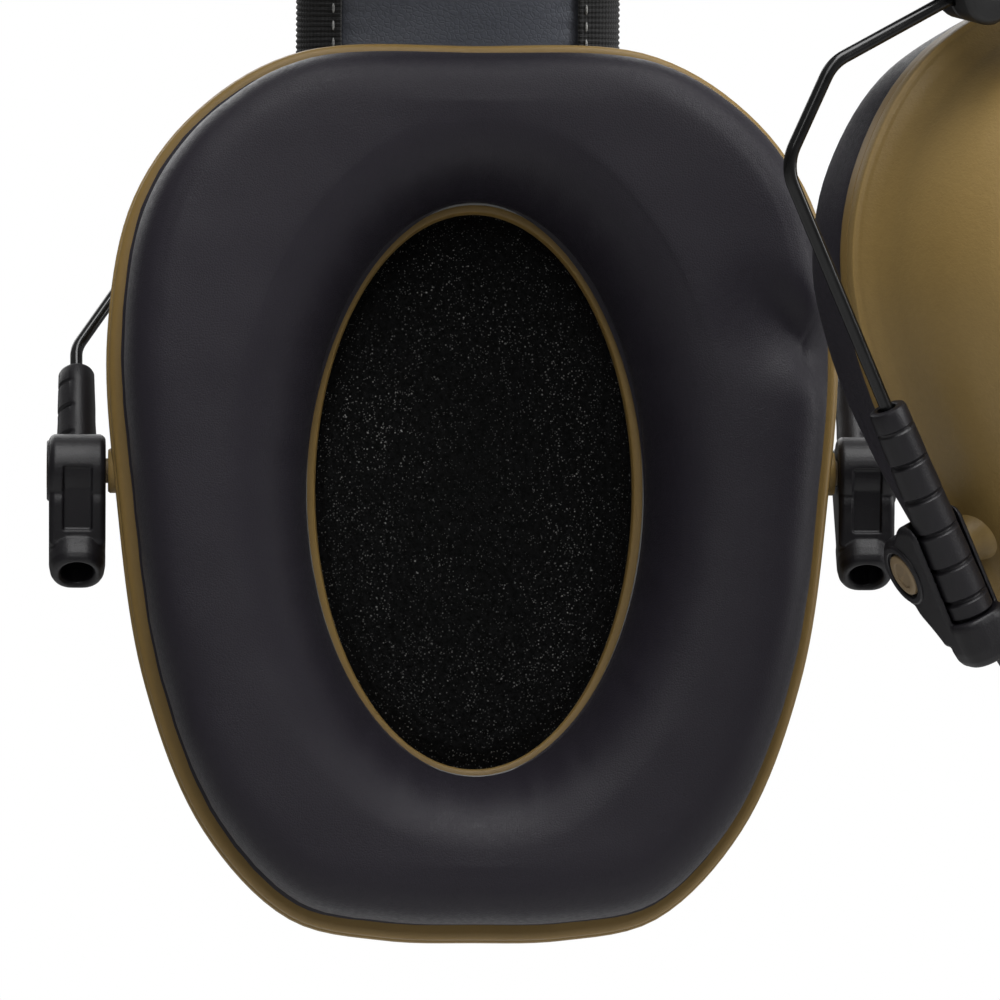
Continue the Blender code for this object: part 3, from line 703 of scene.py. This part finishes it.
for tag, sgn in (("rear", 1), ("front", -1)):
    def ribbed(s, y, h, sgn=sgn):
        # cords run right across; the seam pulls a shallow channel
        skin = np.clip((np.abs(h) - 2.2) / 1.2, 0, 1)
        skin = np.maximum(skin, np.clip((np.abs(y) - 17.6) / 0.8, 0, 1))
        wave = 0.11 * (np.abs(np.cos(math.pi * s / RIB)) * 2 - 1.2) * skin
        ang = np.arctan2(h, np.abs(y) - 15.9)
        seam = np.exp(-((np.abs(y) - 15.75) / 0.5) ** 2) * 0.10
        pull = seam * (1 + 0.5 * np.cos(2 * math.pi * (s - 2.0) / 2.4))
        y2 = y + sgn * wave * np.cos(ang)
        return y2, h + wave * np.sin(ang) - pull * np.sign(h)
    sec = [(y * sgn, h) for y, h in bind_half]
    shape, uv, _ = sweep(sec, BAND_END_Z, ribs * 6 + 1, ribbed, 0.8)
    ob = band_piece(tag + "_webbing_binding", shape, uv, BINDING,
                    [tag + "_edge_binding"], 60.0)

    # stitches through both hems
    verts, faces = [], []
    pitch, length, r = 2.4, 1.35, 0.17
    count = int((run0[-1] - 4) / pitch)
    xs, zs, nxs, nzs, ss = band_frame(2400, BAND_END_Z)
    for face_h, lift in ((-5.07, -1), (4.50, 1)):
        for k in range(count):
            s_mid = 2.0 + pitch * (k + 0.5)
            base = len(verts)
            for q in range(6):
                f = q / 5.0
                s_q = s_mid + (f - 0.5) * length
                g = math.sin(math.pi * min(max(f, 0.04), 0.96)) ** 0.45
                x = np.interp(s_q, ss, xs)
                z = np.interp(s_q, ss, zs)
                nx = np.interp(s_q, ss, nxs)
                nz = np.interp(s_q, ss, nzs)
                for a in range(8):
                    ang = 2 * math.pi * a / 8
                    yy = sgn * 15.75 + r * g * math.cos(ang)
                    hh = face_h + lift * (0.10 * g + r * g * math.sin(ang))
                    verts.append((x + nx * hh, yy, z + nz * hh))
            for q in range(5):
                for a in range(8):
                    b = (a + 1) % 8
                    faces.append((base + q * 8 + a, base + q * 8 + b,
                                  base + q * 8 + 8 + b, base + q * 8 + 8 + a))
            faces.append(tuple(base + a for a in range(8)))
            faces.append(tuple(base + 40 + a for a in range(8)))
    ob = raw(tag + "_hem_stitching", (np.array(verts), faces), band_place,
             80.0)
    dress(ob, THREAD)
    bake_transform(ob)

    # the sprung wire inside
    ang = 2 * math.pi * np.arange(16) / 16
    sec = np.stack([SPRING_Y * sgn + SPRING_R * np.cos(ang),
                    SPRING_R * np.sin(ang)], 1)
    shape, uv, _ = sweep(sec, CROSS_Z + 3.2, 180)
    band_piece(tag + "_band_spring", shape, uv, STEEL,
               [tag + "_spring_wire"], 60.0)

# --------------------------------------------------------------- hinge blocks


def hinge_block(tag, frames):
    place, body = frames["block"], "headband" if tag == "left" else "right_end"
    mid_z, half_z = (BLOCK_LOW + BLOCK_TOP) / 2, (BLOCK_TOP - BLOCK_LOW) / 2

    def ring(x, inset):
        return [(x, y, z + mid_z) for y, z in
                rounded_rect(BLOCK_HALF_Y - inset, half_z - inset,
                             3.0 - inset * 0.5)]
    for half, s in (("inner", -1), ("outer", 1)):
        a, b = BAND_HALF + s * BLOCK_SPLIT, BAND_HALF + s * BLOCK_HALF_X
        rings = [ring(a, 0.15), ring(a + s * 0.15, 0.0)]
        for k in range(7):
            t = math.radians(90 * k / 6)
            rings.append(ring(b - s * 0.9 * (1 - math.sin(t)),
                              0.9 * (1 - math.cos(t))))
        ob = raw(tag + "_block_" + half, loft(rings), place)
        cut(ob, lathe([(WIRE_R + 0.3, -24), (WIRE_R + 0.3, 24)], 28, "Y",
                      (BAND_HALF, 0, CROSS_Z), cyclic=False), place)
        for y in (-SPRING_Y, SPRING_Y):
            cut(ob, lathe([(SPRING_R + 0.3, CROSS_Z + 2.8),
                           (SPRING_R + 0.3, BLOCK_TOP + 2)], 20, "Z",
                          (BAND_HALF, y, 0), cyclic=False), place)
        for y in (-SCREW_Y, SCREW_Y):
            at = (BAND_HALF, y, SCREW_Z)
            if s < 0:
                prof = [(2.45, -BLOCK_HALF_X - 1), (2.45, -BLOCK_HALF_X),
                        (2.3, -BLOCK_HALF_X + 0.15), (2.3, -BLOCK_HALF_X + 1.6),
                        (1.3, -BLOCK_HALF_X + 1.6), (1.3, 1.0)]
            else:
                prof = [(1.3, -1.0), (1.3, 3.1)]
            cut(ob, lathe(prof, 32, "X", at, cyclic=False), place)
        if s > 0:
            # a shallow moulded panel on the outer face
            panel = []
            for x, inset in ((b + 0.5, 2.2), (b - 0.35, 2.5)):
                panel.append([(x, y, z + mid_z) for y, z in
                              rounded_rect(BLOCK_HALF_Y - inset,
                                           half_z - inset, 1.8)])
            cut(ob, loft(panel), place)
        dress(ob, BLOCK, body, [tag + "_hinge_block_" + half])
    for name, y in (("a", -SCREW_Y), ("b", SCREW_Y)):
        prof = [(0.9, -BLOCK_HALF_X + 0.9), (0.98, -BLOCK_HALF_X - 0.02),
                (1.1, -BLOCK_HALF_X - 0.1), (1.55, -BLOCK_HALF_X - 0.08),
                (1.85, -BLOCK_HALF_X + 0.08), (2.0, -BLOCK_HALF_X + 0.35),
                (2.0, -BLOCK_HALF_X + 1.35), (1.0, -BLOCK_HALF_X + 1.4),
                (1.0, 2.8)]
        rings = lathe_points(prof, 36, "X", (BAND_HALF, y, SCREW_Z))
        # six lobes in the drive recess
        a = 2 * math.pi * np.arange(36) / 36
        for i in (0, 1):
            c = np.array([0, y, SCREW_Z])
            off = rings[i] - np.array([BAND_HALF, y, SCREW_Z])
            off[:, 1:] *= (1 + 0.16 * np.cos(6 * a))[:, None]
            rings[i] = off + np.array([BAND_HALF, y, SCREW_Z])
        ob = raw(tag + "_screw_" + name, loft(rings), place, 40.0)
        dress(ob, STEEL, body, [tag + "_block_screw_" + name])


# ------------------------------------------------------------------ yoke wire


def yoke(tag, frames):
    bend_r = 5.0
    pinch = PINCH[tag]
    corners = [(0.0, 0.0), (WIRE_SHOULDER_Y - pinch, 0.0),
               (LEG_Y - pinch, -LEG_START), (LEG_Y, -LEG_END)]
    if pinch:
        corners.insert(3, (LEG_Y, -PINCH_LOW))
    corners = [np.array(c, float) for c in corners]
    half = [corners[0], np.array([15.0, 0.0])]
    for i in range(1, len(corners) - 1):
        p0, p1, p2 = corners[i - 1], corners[i], corners[i + 1]
        a = (p0 - p1) / np.linalg.norm(p0 - p1)
        b = (p2 - p1) / np.linalg.norm(p2 - p1)
        ha = 0.5 * math.acos(float(np.clip(a @ b, -1, 1)))
        reach = bend_r / math.tan(ha)
        m = (a + b) / np.linalg.norm(a + b)
        centre = p1 + m * (bend_r / math.sin(ha))
        st, en = p1 + a * reach - centre, p1 + b * reach - centre
        for k in range(13):
            d = st * (1 - k / 12) + en * (k / 12)
            half.append(centre + d / np.linalg.norm(d) * bend_r)
    half.append(np.array([LEG_Y, -40.0]))
    half.append(corners[-1] + np.array([0, 0.3]))
    half.append(corners[-1])
    path = ([(0.0, -p[0], p[1]) for p in reversed(half[1:])]
            + [(0.0, p[0], p[1]) for p in half])
    path = np.array(path)
    n = 24
    ang = 2 * math.pi * np.arange(n) / n
    rings = []
    for i, p in enumerate(path):
        t = path[min(i + 1, len(path) - 1)] - path[max(i - 1, 0)]
        t = t / np.linalg.norm(t)
        side = np.cross(t, (1.0, 0, 0))
        r = WIRE_R * (0.75 if i in (0, len(path) - 1) else 1.0)
        rings.append(p + r * (np.outer(np.cos(ang), (1.0, 0, 0))
                              + np.outer(np.sin(ang), side)))
    ob = raw(tag + "_bent_wire", loft(rings), frames["yoke"], 50.0)
    dress(ob, WIRE, tag + "_yoke", [tag + "_yoke_wire"])


# ------------------------------------------------------------------- carriage


def arm_outline():
    pts = []
    for k in range(25):
        a = math.radians(84 + 172.0 * k / 24)
        pts.append((EAR_R * math.cos(a), EAR_R * math.sin(a)))
    # a concave neck between the ear and the knuckle
    neck = spline([pts[-1], (-0.4, -5.6), (1.3, -7.2), (2.6, -8.6),
                   (2.9, KNUCKLE_LOW + 2.4)], 6)
    pts += [tuple(p) for p in neck[1:]]
    pts += [(6.2, KNUCKLE_LOW + 2.4), (6.2, 4.9)]
    for k in range(1, 7):
        a = math.radians(90.0 * k / 6)
        pts.append((5.0 + 1.2 * math.cos(a), 5.0 + 1.2 * math.sin(a)))
    pts += [(3.4, 6.2), (2.3, 5.9), (1.4, 5.1)]
    return pts


def arm_body():
    pts = arm_outline()
    mid = np.array([2.0, -2.0])
    rings = []
    for y, shrink in ((ARM_Y0, 0.6), (ARM_Y0 + 0.2, 0.25), (ARM_Y0 + 0.6, 0.0),
                      (ARM_Y1 - 0.6, 0.0), (ARM_Y1 - 0.2, 0.25),
                      (ARM_Y1, 0.6)):
        ring = []
        for x, z in pts:
            v = np.array([x, z]) - mid
            v = v * (1 - shrink / np.linalg.norm(v)) + mid
            ring.append((v[0], y, v[1]))
        rings.append(ring)
    return loft(rings)


def knuckle():
    rings = []
    half = (ARM_Y1 - ARM_Y0) / 2
    for z, s in ((KNUCKLE_LOW, 0.74), (KNUCKLE_LOW + 0.25, 0.85),
                 (KNUCKLE_LOW + 0.9, 0.95), (KNUCKLE_LOW + 2.0, 1.0),
                 (KNUCKLE_TOP - 0.7, 1.0), (KNUCKLE_TOP - 0.2, 0.97),
                 (KNUCKLE_TOP + 0.1, 0.90)):
        rings.append([(LEG_OFFSET + x * s, LEG_Y + y * s, z)
                      for x, y in rounded_rect(half, half, 2.6)])
    return loft(rings)


def arm_panel():
    """A shallow sunk panel down the arm's inner face."""
    outline = []
    for k in range(9):
        a = math.radians(214 + 36.0 * k / 8)
        outline.append((3.98 * math.cos(a), 3.98 * math.sin(a)))
    outline += [(-0.05, -5.2), (1.55, -6.8), (2.1, -7.3), (1.6, -8.4),
                (-5.5, -8.4), (-7.0, -5.0), (-6.0, -2.7)]
    return loft([[(x, y, z) for x, z in outline]
                 for y in (LEG_Y - 1.75, LEG_Y + 1.75)])


def sleeve_rings(n=64):
    """The grooved sleeve: grooves run round its outer half only."""
    def outer(z):
        f = (SLEEVE_TOP - z) / (SLEEVE_TOP - SLEEVE_BOTTOM)
        return 2.2 + 0.45 * f
    prof = [(1.12, SLEEVE_TOP - 0.1, 0), (1.3, SLEEVE_TOP, 0),
            (outer(SLEEVE_TOP) - 0.45, SLEEVE_TOP, 0),
            (outer(SLEEVE_TOP) - 0.15, SLEEVE_TOP - 0.12, 0),
            (outer(SLEEVE_TOP), SLEEVE_TOP - 0.45, 0)]
    # a thin collar under the rim
    prof += [(outer(17.6), 17.7, 0), (outer(17.5), 17.5, 0.18),
             (outer(17.2), 17.25, 0.18), (outer(17.0), 17.05, 0)]
    for g in GROOVES:
        o = outer(g)
        prof += [(o, g + 1.2, 0), (o, g + 0.42, 0), (o, g + 0.30, 0.10),
                 (o, g + 0.16, 0.34), (o, g, 0.42), (o, g - 0.16, 0.34),
                 (o, g - 0.30, 0.10), (o, g - 0.42, 0), (o, g - 1.2, 0)]
    prof += [(outer(SLEEVE_BOTTOM) - 0.02, SLEEVE_BOTTOM + 0.2, 0),
             (outer(SLEEVE_BOTTOM) - 0.2, SLEEVE_BOTTOM, 0),
             (1.6, SLEEVE_BOTTOM, 0), (1.6, SLEEVE_TOP - 1.4, 0),
             (1.12, SLEEVE_TOP - 1.4, 0)]
    a = 2 * math.pi * np.arange(n) / n
    # grooves fade out towards the side that faces the cup
    face = np.clip((np.cos(a - math.radians(50)) + 0.55) / 0.35, 0, 1)
    flat = 0.10 * np.clip(np.cos(a - math.radians(140)), 0, 1) ** 6
    rings = []
    for r, z, depth in prof:
        rr = r - depth * face - (flat if r > 1.7 else 0.0)
        rings.append(np.stack([rr * np.cos(a), rr * np.sin(a),
                               np.full(n, z)], 1)
                     + np.array([LEG_OFFSET, LEG_Y, 0.0]))
    return rings


def carriage(tag, frames, names):
    place, body = frames["carriage"], tag + "_carriage"
    for name, s in names:
        mir = (lambda sh: sh) if s > 0 else flip
        ob = raw(tag + "_" + name + "_arm", mir(arm_body()), place)
        cut(ob, mir(knuckle()), place, "UNION")
        # a recessed panel on the ear's outside, then the bores
        for shape in (
                lathe([(2.85, KNUCKLE_TOP), (2.85, 9.5)], 40, "Z",
                      (LEG_OFFSET, LEG_Y, 0.0), cyclic=False),
                lathe([(2.35, KNUCKLE_LOW - 1), (2.35, KNUCKLE_LOW + 0.05),
                       (2.0, KNUCKLE_LOW + 0.4), (2.0, KNUCKLE_TOP + 1)], 36,
                      "Z", (LEG_OFFSET, LEG_Y, 0.0), cyclic=False),
                lathe([(1.75, ARM_Y0 - 1), (1.75, CAP_Y - 0.3),
                       (2.7, CAP_Y - 0.3), (2.7, ARM_Y1 + 1)], 40, "Y",
                      cyclic=False)):
            cut(ob, mir(shape), place)
        cut(ob, mir(arm_panel()), place)
        soften(ob, 0.15, 4)
        dress(ob, ARM, body, [tag + "_" + name + "_arm_housing"])
        # raised ring round the pivot cap
        ring = [(2.8, ARM_Y1 - 0.15), (2.8, ARM_Y1 + 0.18),
                (2.95, ARM_Y1 + 0.28), (3.45, ARM_Y1 + 0.28),
                (3.65, ARM_Y1 + 0.15), (3.7, ARM_Y1 - 0.15)]
        ob = raw(tag + "_" + name + "_ear_ring", mir(lathe(ring, 48, "Y")),
                 place, 30.0)
        dress(ob, ARM, body)
        ob = raw(tag + "_" + name + "_sleeve",
                 mir(loft(sleeve_rings(), cyclic=True)), place, 30.0)
        dress(ob, ARM, body, [tag + "_" + name + "_grooved_sleeve"])


# ------------------------------------------------------------------------ cup


def soft_cushion(name, frames, dents):
    rings = [cup_ring(-7.3, 3.4), cup_ring(-8.0, 2.6), cup_ring(-9.6, 2.15),
             cup_ring(-12.0, 2.05), cup_ring(-14.6, 2.2),
             cup_ring(-16.8, 2.7), cup_ring(-18.4, 3.7),
             cup_ring(-19.45, 5.4), cup_ring(-19.95, 8.0)]
    inner = [open_ring(x, OPEN_A + g, OPEN_B + g * 0.97) for x, g in
             ((-20.0, 10.9), (-19.75, 8.7), (-19.0, 6.5), (-17.7, 4.5),
              (-15.9, 2.8), (-13.7, 1.4), (-11.4, 0.45), (-9.3, 0.0),
              (-7.9, 0.35), (-7.3, 1.7))]
    fine = smooth_loft(rings + inner, 5, True)
    arr = np.array(fine)
    rows = len(arr)
    pts = arr.reshape(-1, 3)
    # outward directions from neighbouring points
    du = np.roll(arr, -1, 0) - np.roll(arr, 1, 0)
    dv = np.roll(arr, -1, 1) - np.roll(arr, 1, 1)
    nrm = np.cross(du, dv).reshape(-1, 3)
    nrm /= np.maximum(np.linalg.norm(nrm, axis=1, keepdims=True), 1e-9)
    centre = np.array([-13.5, 0, 0])
    face = nrm[:, 0] * np.sign(pts[:, 0] - centre[0])
    top = pts[:, 0] < -19.5
    if (nrm[top, 0] > 0).mean() > 0.5:
        nrm = -nrm
    theta = np.arctan2(pts[:, 1] / OPEN_A, (pts[:, 2] - OPEN_Z) / OPEN_B)
    k = np.repeat(np.arange(rows), N) / rows
    # fine gathers low on the inner roll and at the outer seam
    e = np.hypot(pts[:, 1] / OPEN_A, (pts[:, 2] - OPEN_Z) / OPEN_B)
    roll = np.exp(-((e - 1.07) / 0.09) ** 2) * np.clip(
        (-pts[:, 0] - 8.5) / 4.0, 0, 1)
    gather = 0.07 * np.sin(34 * theta + 2.2 * np.sin(3 * theta + 0.5)) \
        + 0.05 * np.sin(57 * theta + 1.0)
    seam = np.exp(-((pts[:, 0] + 9.0) / 1.5) ** 2) * np.clip(
        (e - 1.5) / 0.2, 0, 1)
    outer = 0.10 * np.sin(70 * theta + 1.7 * np.sin(5 * theta))
    swell = 0.16 * noise3(pts, 0.09, 3) + 0.05 * noise3(pts, 0.35, 5)
    d = roll * gather + seam * outer + swell * np.clip(
        (-pts[:, 0] - 8.5) / 5.0, 0, 1)
    for (y0, z0), (y1, z1), width, depth in dents:
        a, b = np.array([y0, z0]), np.array([y1, z1])
        ab = b - a
        q = pts[:, 1:] - a
        t = np.clip((q @ ab) / (ab @ ab), 0, 1)
        off = q - t[:, None] * ab
        dist = np.linalg.norm(off, axis=1)
        fall = np.clip(t / 0.6, 0, 1) ** 1.5
        # a valley that narrows and deepens outwards, steeper on top
        wide = width * (2.2 - 1.2 * t) * np.where(off[:, 1] > 0, 0.85, 1.5)
        d -= depth * fall * np.exp(-(dist / wide) ** 2) \
            * np.clip((-pts[:, 0] - 12.5) / 5.0, 0, 1)
    pts = pts + nrm * d[:, None]
    pts[:, 0] = np.maximum(pts[:, 0], -20.6)
    ob = raw(name, (pts, grid_faces(rows, N, True)), frames["cup"], 80.0)
    return ob


def cup(tag, frames, names):
    place, body = frames["cup"], tag + "_cup"
    # outer skin: an eased rim, a fine line, then the dome
    flange = [cup_ring(-3.0, 0.35), cup_ring(-2.85, 0.1), cup_ring(-2.55, 0.0),
              cup_ring(-1.45, 0.0), cup_ring(-1.2, 0.06),
              cup_ring(-1.05, 0.24), cup_ring(-1.0, 0.46),
              cup_ring(-0.85, 0.66), cup_ring(-0.6, 0.80)]
    dome = smooth_loft([cup_ring(-0.6, 0.80), cup_ring(0.6, 1.75),
                        cup_ring(2.4, 2.45), cup_ring(6.5, 3.9),
                        cup_ring(11.5, 6.7),
                        cup_ring(16.0, 11.2), cup_ring(19.2, 11.2, 0.80),
                        cup_ring(21.6, 11.2, 0.50), cup_ring(22.5, 11.2, 0.22),
                        cup_ring(22.68, 11.2, 0.02)], 7, False)
    inner = [cup_ring(20.5, 11.2, 0.02), cup_ring(20.3, 11.2, 0.25),
             cup_ring(18.6, 13.0, 0.62), cup_ring(15.0, 13.5),
             cup_ring(10.5, 9.2), cup_ring(5.5, 6.3), cup_ring(-3.0, 5.0)]
    rings = flange + list(dome)[1:]
    outer_rows = len(rings)
    rings += inner
    verts = np.array(rings).reshape(-1, 3)
    # the crown of the dome drops a little to clear the hinge block
    verts[:, 2] -= 0.85 * (np.clip((verts[:, 0] + 0.6) / 3.0, 0, 1)
                           * np.clip(verts[:, 2] / 25.0, 0, 1))
    faces = grid_faces(len(rings), N, True)
    gap = (outer_rows - 1) * N
    faces = [f for f in faces
             if not (f[0] >= gap and f[0] < gap + N)]
    faces.append(tuple(gap + k for k in range(N)))
    faces.append(tuple(gap + N + k for k in range(N)))
    ob = raw(tag + "_shell", (verts, faces), place, 32.0)
    for s in (1, -1):
        mir = (lambda sh: sh) if s > 0 else flip
        cut(ob, mir(lathe([(1.75, 41.2), (1.75, 46.0)], 28, "Y",
                          cyclic=False)), place)
    dress(ob, SHELL, body, [tag + "_cup_shell"])
    for name, s in names:
        mir = (lambda sh: sh) if s > 0 else flip
        boss = [(1.75, 40.4), (3.4, 40.4), (3.1, 41.2), (2.85, 41.9),
                (BOSS_R, 42.8), (BOSS_R, ARM_Y0 - 0.55),
                (BOSS_R - 0.2, ARM_Y0 - 0.3), (1.75, ARM_Y0 - 0.3)]
        b = raw(tag + "_" + name + "_boss", mir(lathe(boss, 48, "Y")), place,
                40.0)
        dress(b, SHELL, body)
        cap = ARM_Y1 + 0.3
        pin = [(0.02, 41.5), (1.35, 41.5), (1.5, 41.7), (1.5, CAP_Y),
               (2.5, CAP_Y), (2.5, cap - 0.35), (2.4, cap - 0.12),
               (2.15, cap), (1.55, cap - 0.04), (1.45, cap - 0.2),
               (0.02, cap - 0.24)]
        p = raw(tag + "_" + name + "_pin_cap",
                mir(lathe(pin, 48, "Y", cyclic=False)), place, 30.0)
        dress(p, PIN, body, [tag + "_" + name + "_pivot_pin"])
    plate = [cup_ring(-3.3, 0.5), cup_ring(-3.45, 0.3), cup_ring(-4.9, 0.3),
             cup_ring(-5.25, 0.42), cup_ring(-5.5, 0.75),
             cup_ring(-5.6, 1.2), cup_ring(-5.6, 4.0),
             open_ring(-5.6, HOLE_A + 1.0, HOLE_B + 1.0),
             open_ring(-5.58, HOLE_A + 0.5, HOLE_B + 0.5),
             open_ring(-5.45, HOLE_A + 0.18, HOLE_B + 0.18),
             open_ring(-5.1, HOLE_A, HOLE_B), open_ring(-3.5, HOLE_A, HOLE_B),
             open_ring(-3.3, HOLE_A + 0.2, HOLE_B + 0.2)]
    ob = raw(tag + "_plate", loft(plate, cyclic=True), place, 35.0)
    dress(ob, PLATE, body, [tag + "_face_plate"])

    # a thin light grey ring where the cushion meets the face plate round the opening
    t = 2 * math.pi * np.arange(12) / 12
    edge_ring = [open_ring(-7.15 + 0.20 * math.cos(q),
                           OPEN_A + 0.02 + 0.20 * math.sin(q),
                           OPEN_B + 0.02 + 0.20 * math.sin(q)) for q in t]
    ob = raw(tag + "_grey_opening_line", loft(edge_ring, cyclic=True), place, 80.0)
    dress(ob, EDGE, body)

    # open-cell foam: a torn, pitted front
    rows, cols = 74, 150
    rings = []
    rng = np.random.RandomState(11 if tag == "left" else 12)
    for i in range(rows):
        f = (i + 0.4) / (rows - 1)
        a = 19.0 * f
        b = 33.4 * f
        x = -4.15 + 0.5 * f ** 2 + 0.9 * max(0.0, f - 0.93) / 0.07
        r = open_ring(x, a, b, cols)
        r[:, 0] += rng.uniform(-0.17, 0.17, cols) * min(1.0, f * 3)
        r[:, 1:] += rng.uniform(-0.06, 0.06, (cols, 2)) * f
        rings.append(r)
    for x, a, b in ((-2.9, 19.3, 33.7), (-2.9, 23.5, 37.5),
                    (-2.0, 23.5, 37.5), (7.0, 23.5, 37.5), (7.0, 10.0, 16.0)):
        rings.append(open_ring(x, a, b, cols))
    ob = raw(tag + "_cup_foam", loft(rings), place, 180.0)
    dress(ob, FOAM, body, [tag + "_foam_insert"])
    liner = smooth_loft([cup_ring(7.3, 8.6), cup_ring(9.0, 9.4),
                         cup_ring(14.0, 14.5), cup_ring(17.2, 14.0, 0.62)], 4,
                        False)
    ob = raw(tag + "_liner_foam", loft(liner), place, 60.0)
    dress(ob, LINER, body, [tag + "_cup_liner"])

    # the long crease faces the viewer's right on the left cup
    dents = ([((-28.0, 22.5), (-43.0, 12.8), 2.4, 3.0),
              ((-24.0, 31.0), (-42.0, 26.0), 3.6, 0.40),
              ((30.0, -22.0), (38.5, -27.5), 2.8, 0.35)] if tag == "left" else
             [((26.0, 20.0), (43.5, 16.0), 2.0, 0.7),
              ((-28.0, -24.0), (-38.0, -18.0), 2.4, 0.4)])
    ob = soft_cushion(tag + "_soft_cushion", frames, dents)
    dress(ob, CUSHION, body, [tag + "_ear_cushion"])


for tag in ("left", "right"):
    frames = side_frames(tag)
    names = ((("front", 1), ("rear", -1)) if tag == "left"
             else (("rear", 1), ("front", -1)))
    hinge_block(tag, frames)
    yoke(tag, frames)
    carriage(tag, frames, names)
    cup(tag, frames, names)

# the CAD nodes whose shape is already right keep it, with better materials
for node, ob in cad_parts.items():
    if ob.hide_render:
        continue
    look = (STEEL if node.endswith("wire_stop") else
            BUSH if node.endswith("friction_bush") else BLOCK)
    ob.data.materials.clear()
    ob.data.materials.append(look)

# ------------------------------------------------------- floor, light, camera
scene = bpy.context.scene
floor_mat = Nodes("pale_floor")
fv = floor_mat.coords()
fcol = floor_mat.mix(floor_mat.noise(fv, 3.0), (0.62, 0.62, 0.62),
                     (0.66, 0.66, 0.655))
floor_mat.out(Base_Color=fcol, Roughness=0.8)
me = bpy.data.meshes.new("floor")
me.from_pydata([(-4, -4, -0.55), (4, -4, -0.55), (4, 4, -0.55),
                (-4, 4, -0.55)], [], [(0, 1, 2, 3)])
floor = bpy.data.objects.new("floor", me)
scene.collection.objects.link(floor)
me.materials.append(floor_mat.m)

world = bpy.data.worlds.new("studio")
scene.world = world
world.use_nodes = True
wt = world.node_tree
bg = wt.nodes["Background"]
bg.inputs["Color"].default_value = (1, 1, 1, 1)
ray = wt.nodes.new("ShaderNodeTexCoord")
parts = wt.nodes.new("ShaderNodeSeparateXYZ")
wt.links.new(ray.outputs["Generated"], parts.inputs[0])


def world_math(op, a, b):
    node = wt.nodes.new("ShaderNodeMath")
    node.operation = op
    for sock, v in ((node.inputs[0], a), (node.inputs[1], b)):
        if hasattr(v, "is_output"):
            wt.links.new(v, sock)
        else:
            sock.default_value = v
    return node.outputs[0]


above = world_math("MAXIMUM", parts.outputs["Z"], 0.0)
side = world_math("MAXIMUM", parts.outputs["Y"], 0.0)
across = world_math("MULTIPLY", side, side)
glow = world_math("ADD", world_math("MULTIPLY", above, 0.34),
                  world_math("MULTIPLY", across, 0.30))
wt.links.new(world_math("ADD", glow, 0.09), bg.inputs["Strength"])
seen = wt.nodes.new("ShaderNodeBackground")
seen.inputs["Color"].default_value = (1, 1, 1, 1)
seen.inputs["Strength"].default_value = 1.0
path_node = wt.nodes.new("ShaderNodeLightPath")
mixer = wt.nodes.new("ShaderNodeMixShader")
wt.links.new(path_node.outputs["Is Camera Ray"], mixer.inputs[0])
wt.links.new(bg.outputs[0], mixer.inputs[1])
wt.links.new(seen.outputs[0], mixer.inputs[2])
wt.links.new(mixer.outputs[0], wt.nodes["World Output"].inputs["Surface"])


def softbox(name, at, aim, size, watts):
    light = bpy.data.lights.new(name, "AREA")
    light.shape, light.size, light.size_y = "RECTANGLE", size[0], size[1]
    light.energy = watts
    ob = bpy.data.objects.new(name, light)
    scene.collection.objects.link(ob)
    ob.location = at
    ob.rotation_euler = (Vector(aim) - Vector(at)).to_track_quat(
        "-Z", "Y").to_euler()
    return ob


softbox("key_top", (0.45, 0.14, 0.95), (0, 0.03, 0.02), (0.7, 0.7), 15.0)
softbox("front_fill", (0.98, -0.12, 0.60), (0, 0, 0.0), (0.5, 0.6), 4.2)
softbox("right_fill", (0.55, 0.90, 0.42), (0, 0.02, 0.0), (0.4, 0.7), 7.0)
softbox("right_rim", (0.02, 0.95, 0.22), (-0.05, 0.04, 0.0), (0.3, 0.5), 3.0)
softbox("back_rim", (-0.9, -0.2, 0.55), (0, 0, 0.03), (0.9, 0.6), 4.0)

# camera: well back, a little left of and below cup A's own axis
cam_data = bpy.data.cameras.new("camera")
cam = bpy.data.objects.new("camera", cam_data)
scene.collection.objects.link(cam)
target = Vector((-0.04059, 0.0, -0.0033))
away = Vector((1.0, -0.053, -0.071)).normalized()
DIST = 1.10
PX_PER_MM = 8.43
forward = -away
right = forward.cross(Vector((0, 0, 1))).normalized()
up = right.cross(forward)
cam.matrix_world = (Matrix.Translation(target + away * DIST)
                    @ Matrix((right, up, -forward)).transposed().to_4x4())
cam_data.sensor_width = 36.0
cam_data.lens = PX_PER_MM * DIST * 1000 * 36.0 / 1000.0
cam_data.clip_start, cam_data.clip_end = 0.05, 20.0
cam_data.shift_x = (500 - 480.5) / 1000.0
cam_data.shift_y = -(500 - 487.5) / 1000.0
scene.camera = cam
scene.view_settings.view_transform = "Standard"
scene.view_settings.look = "None"
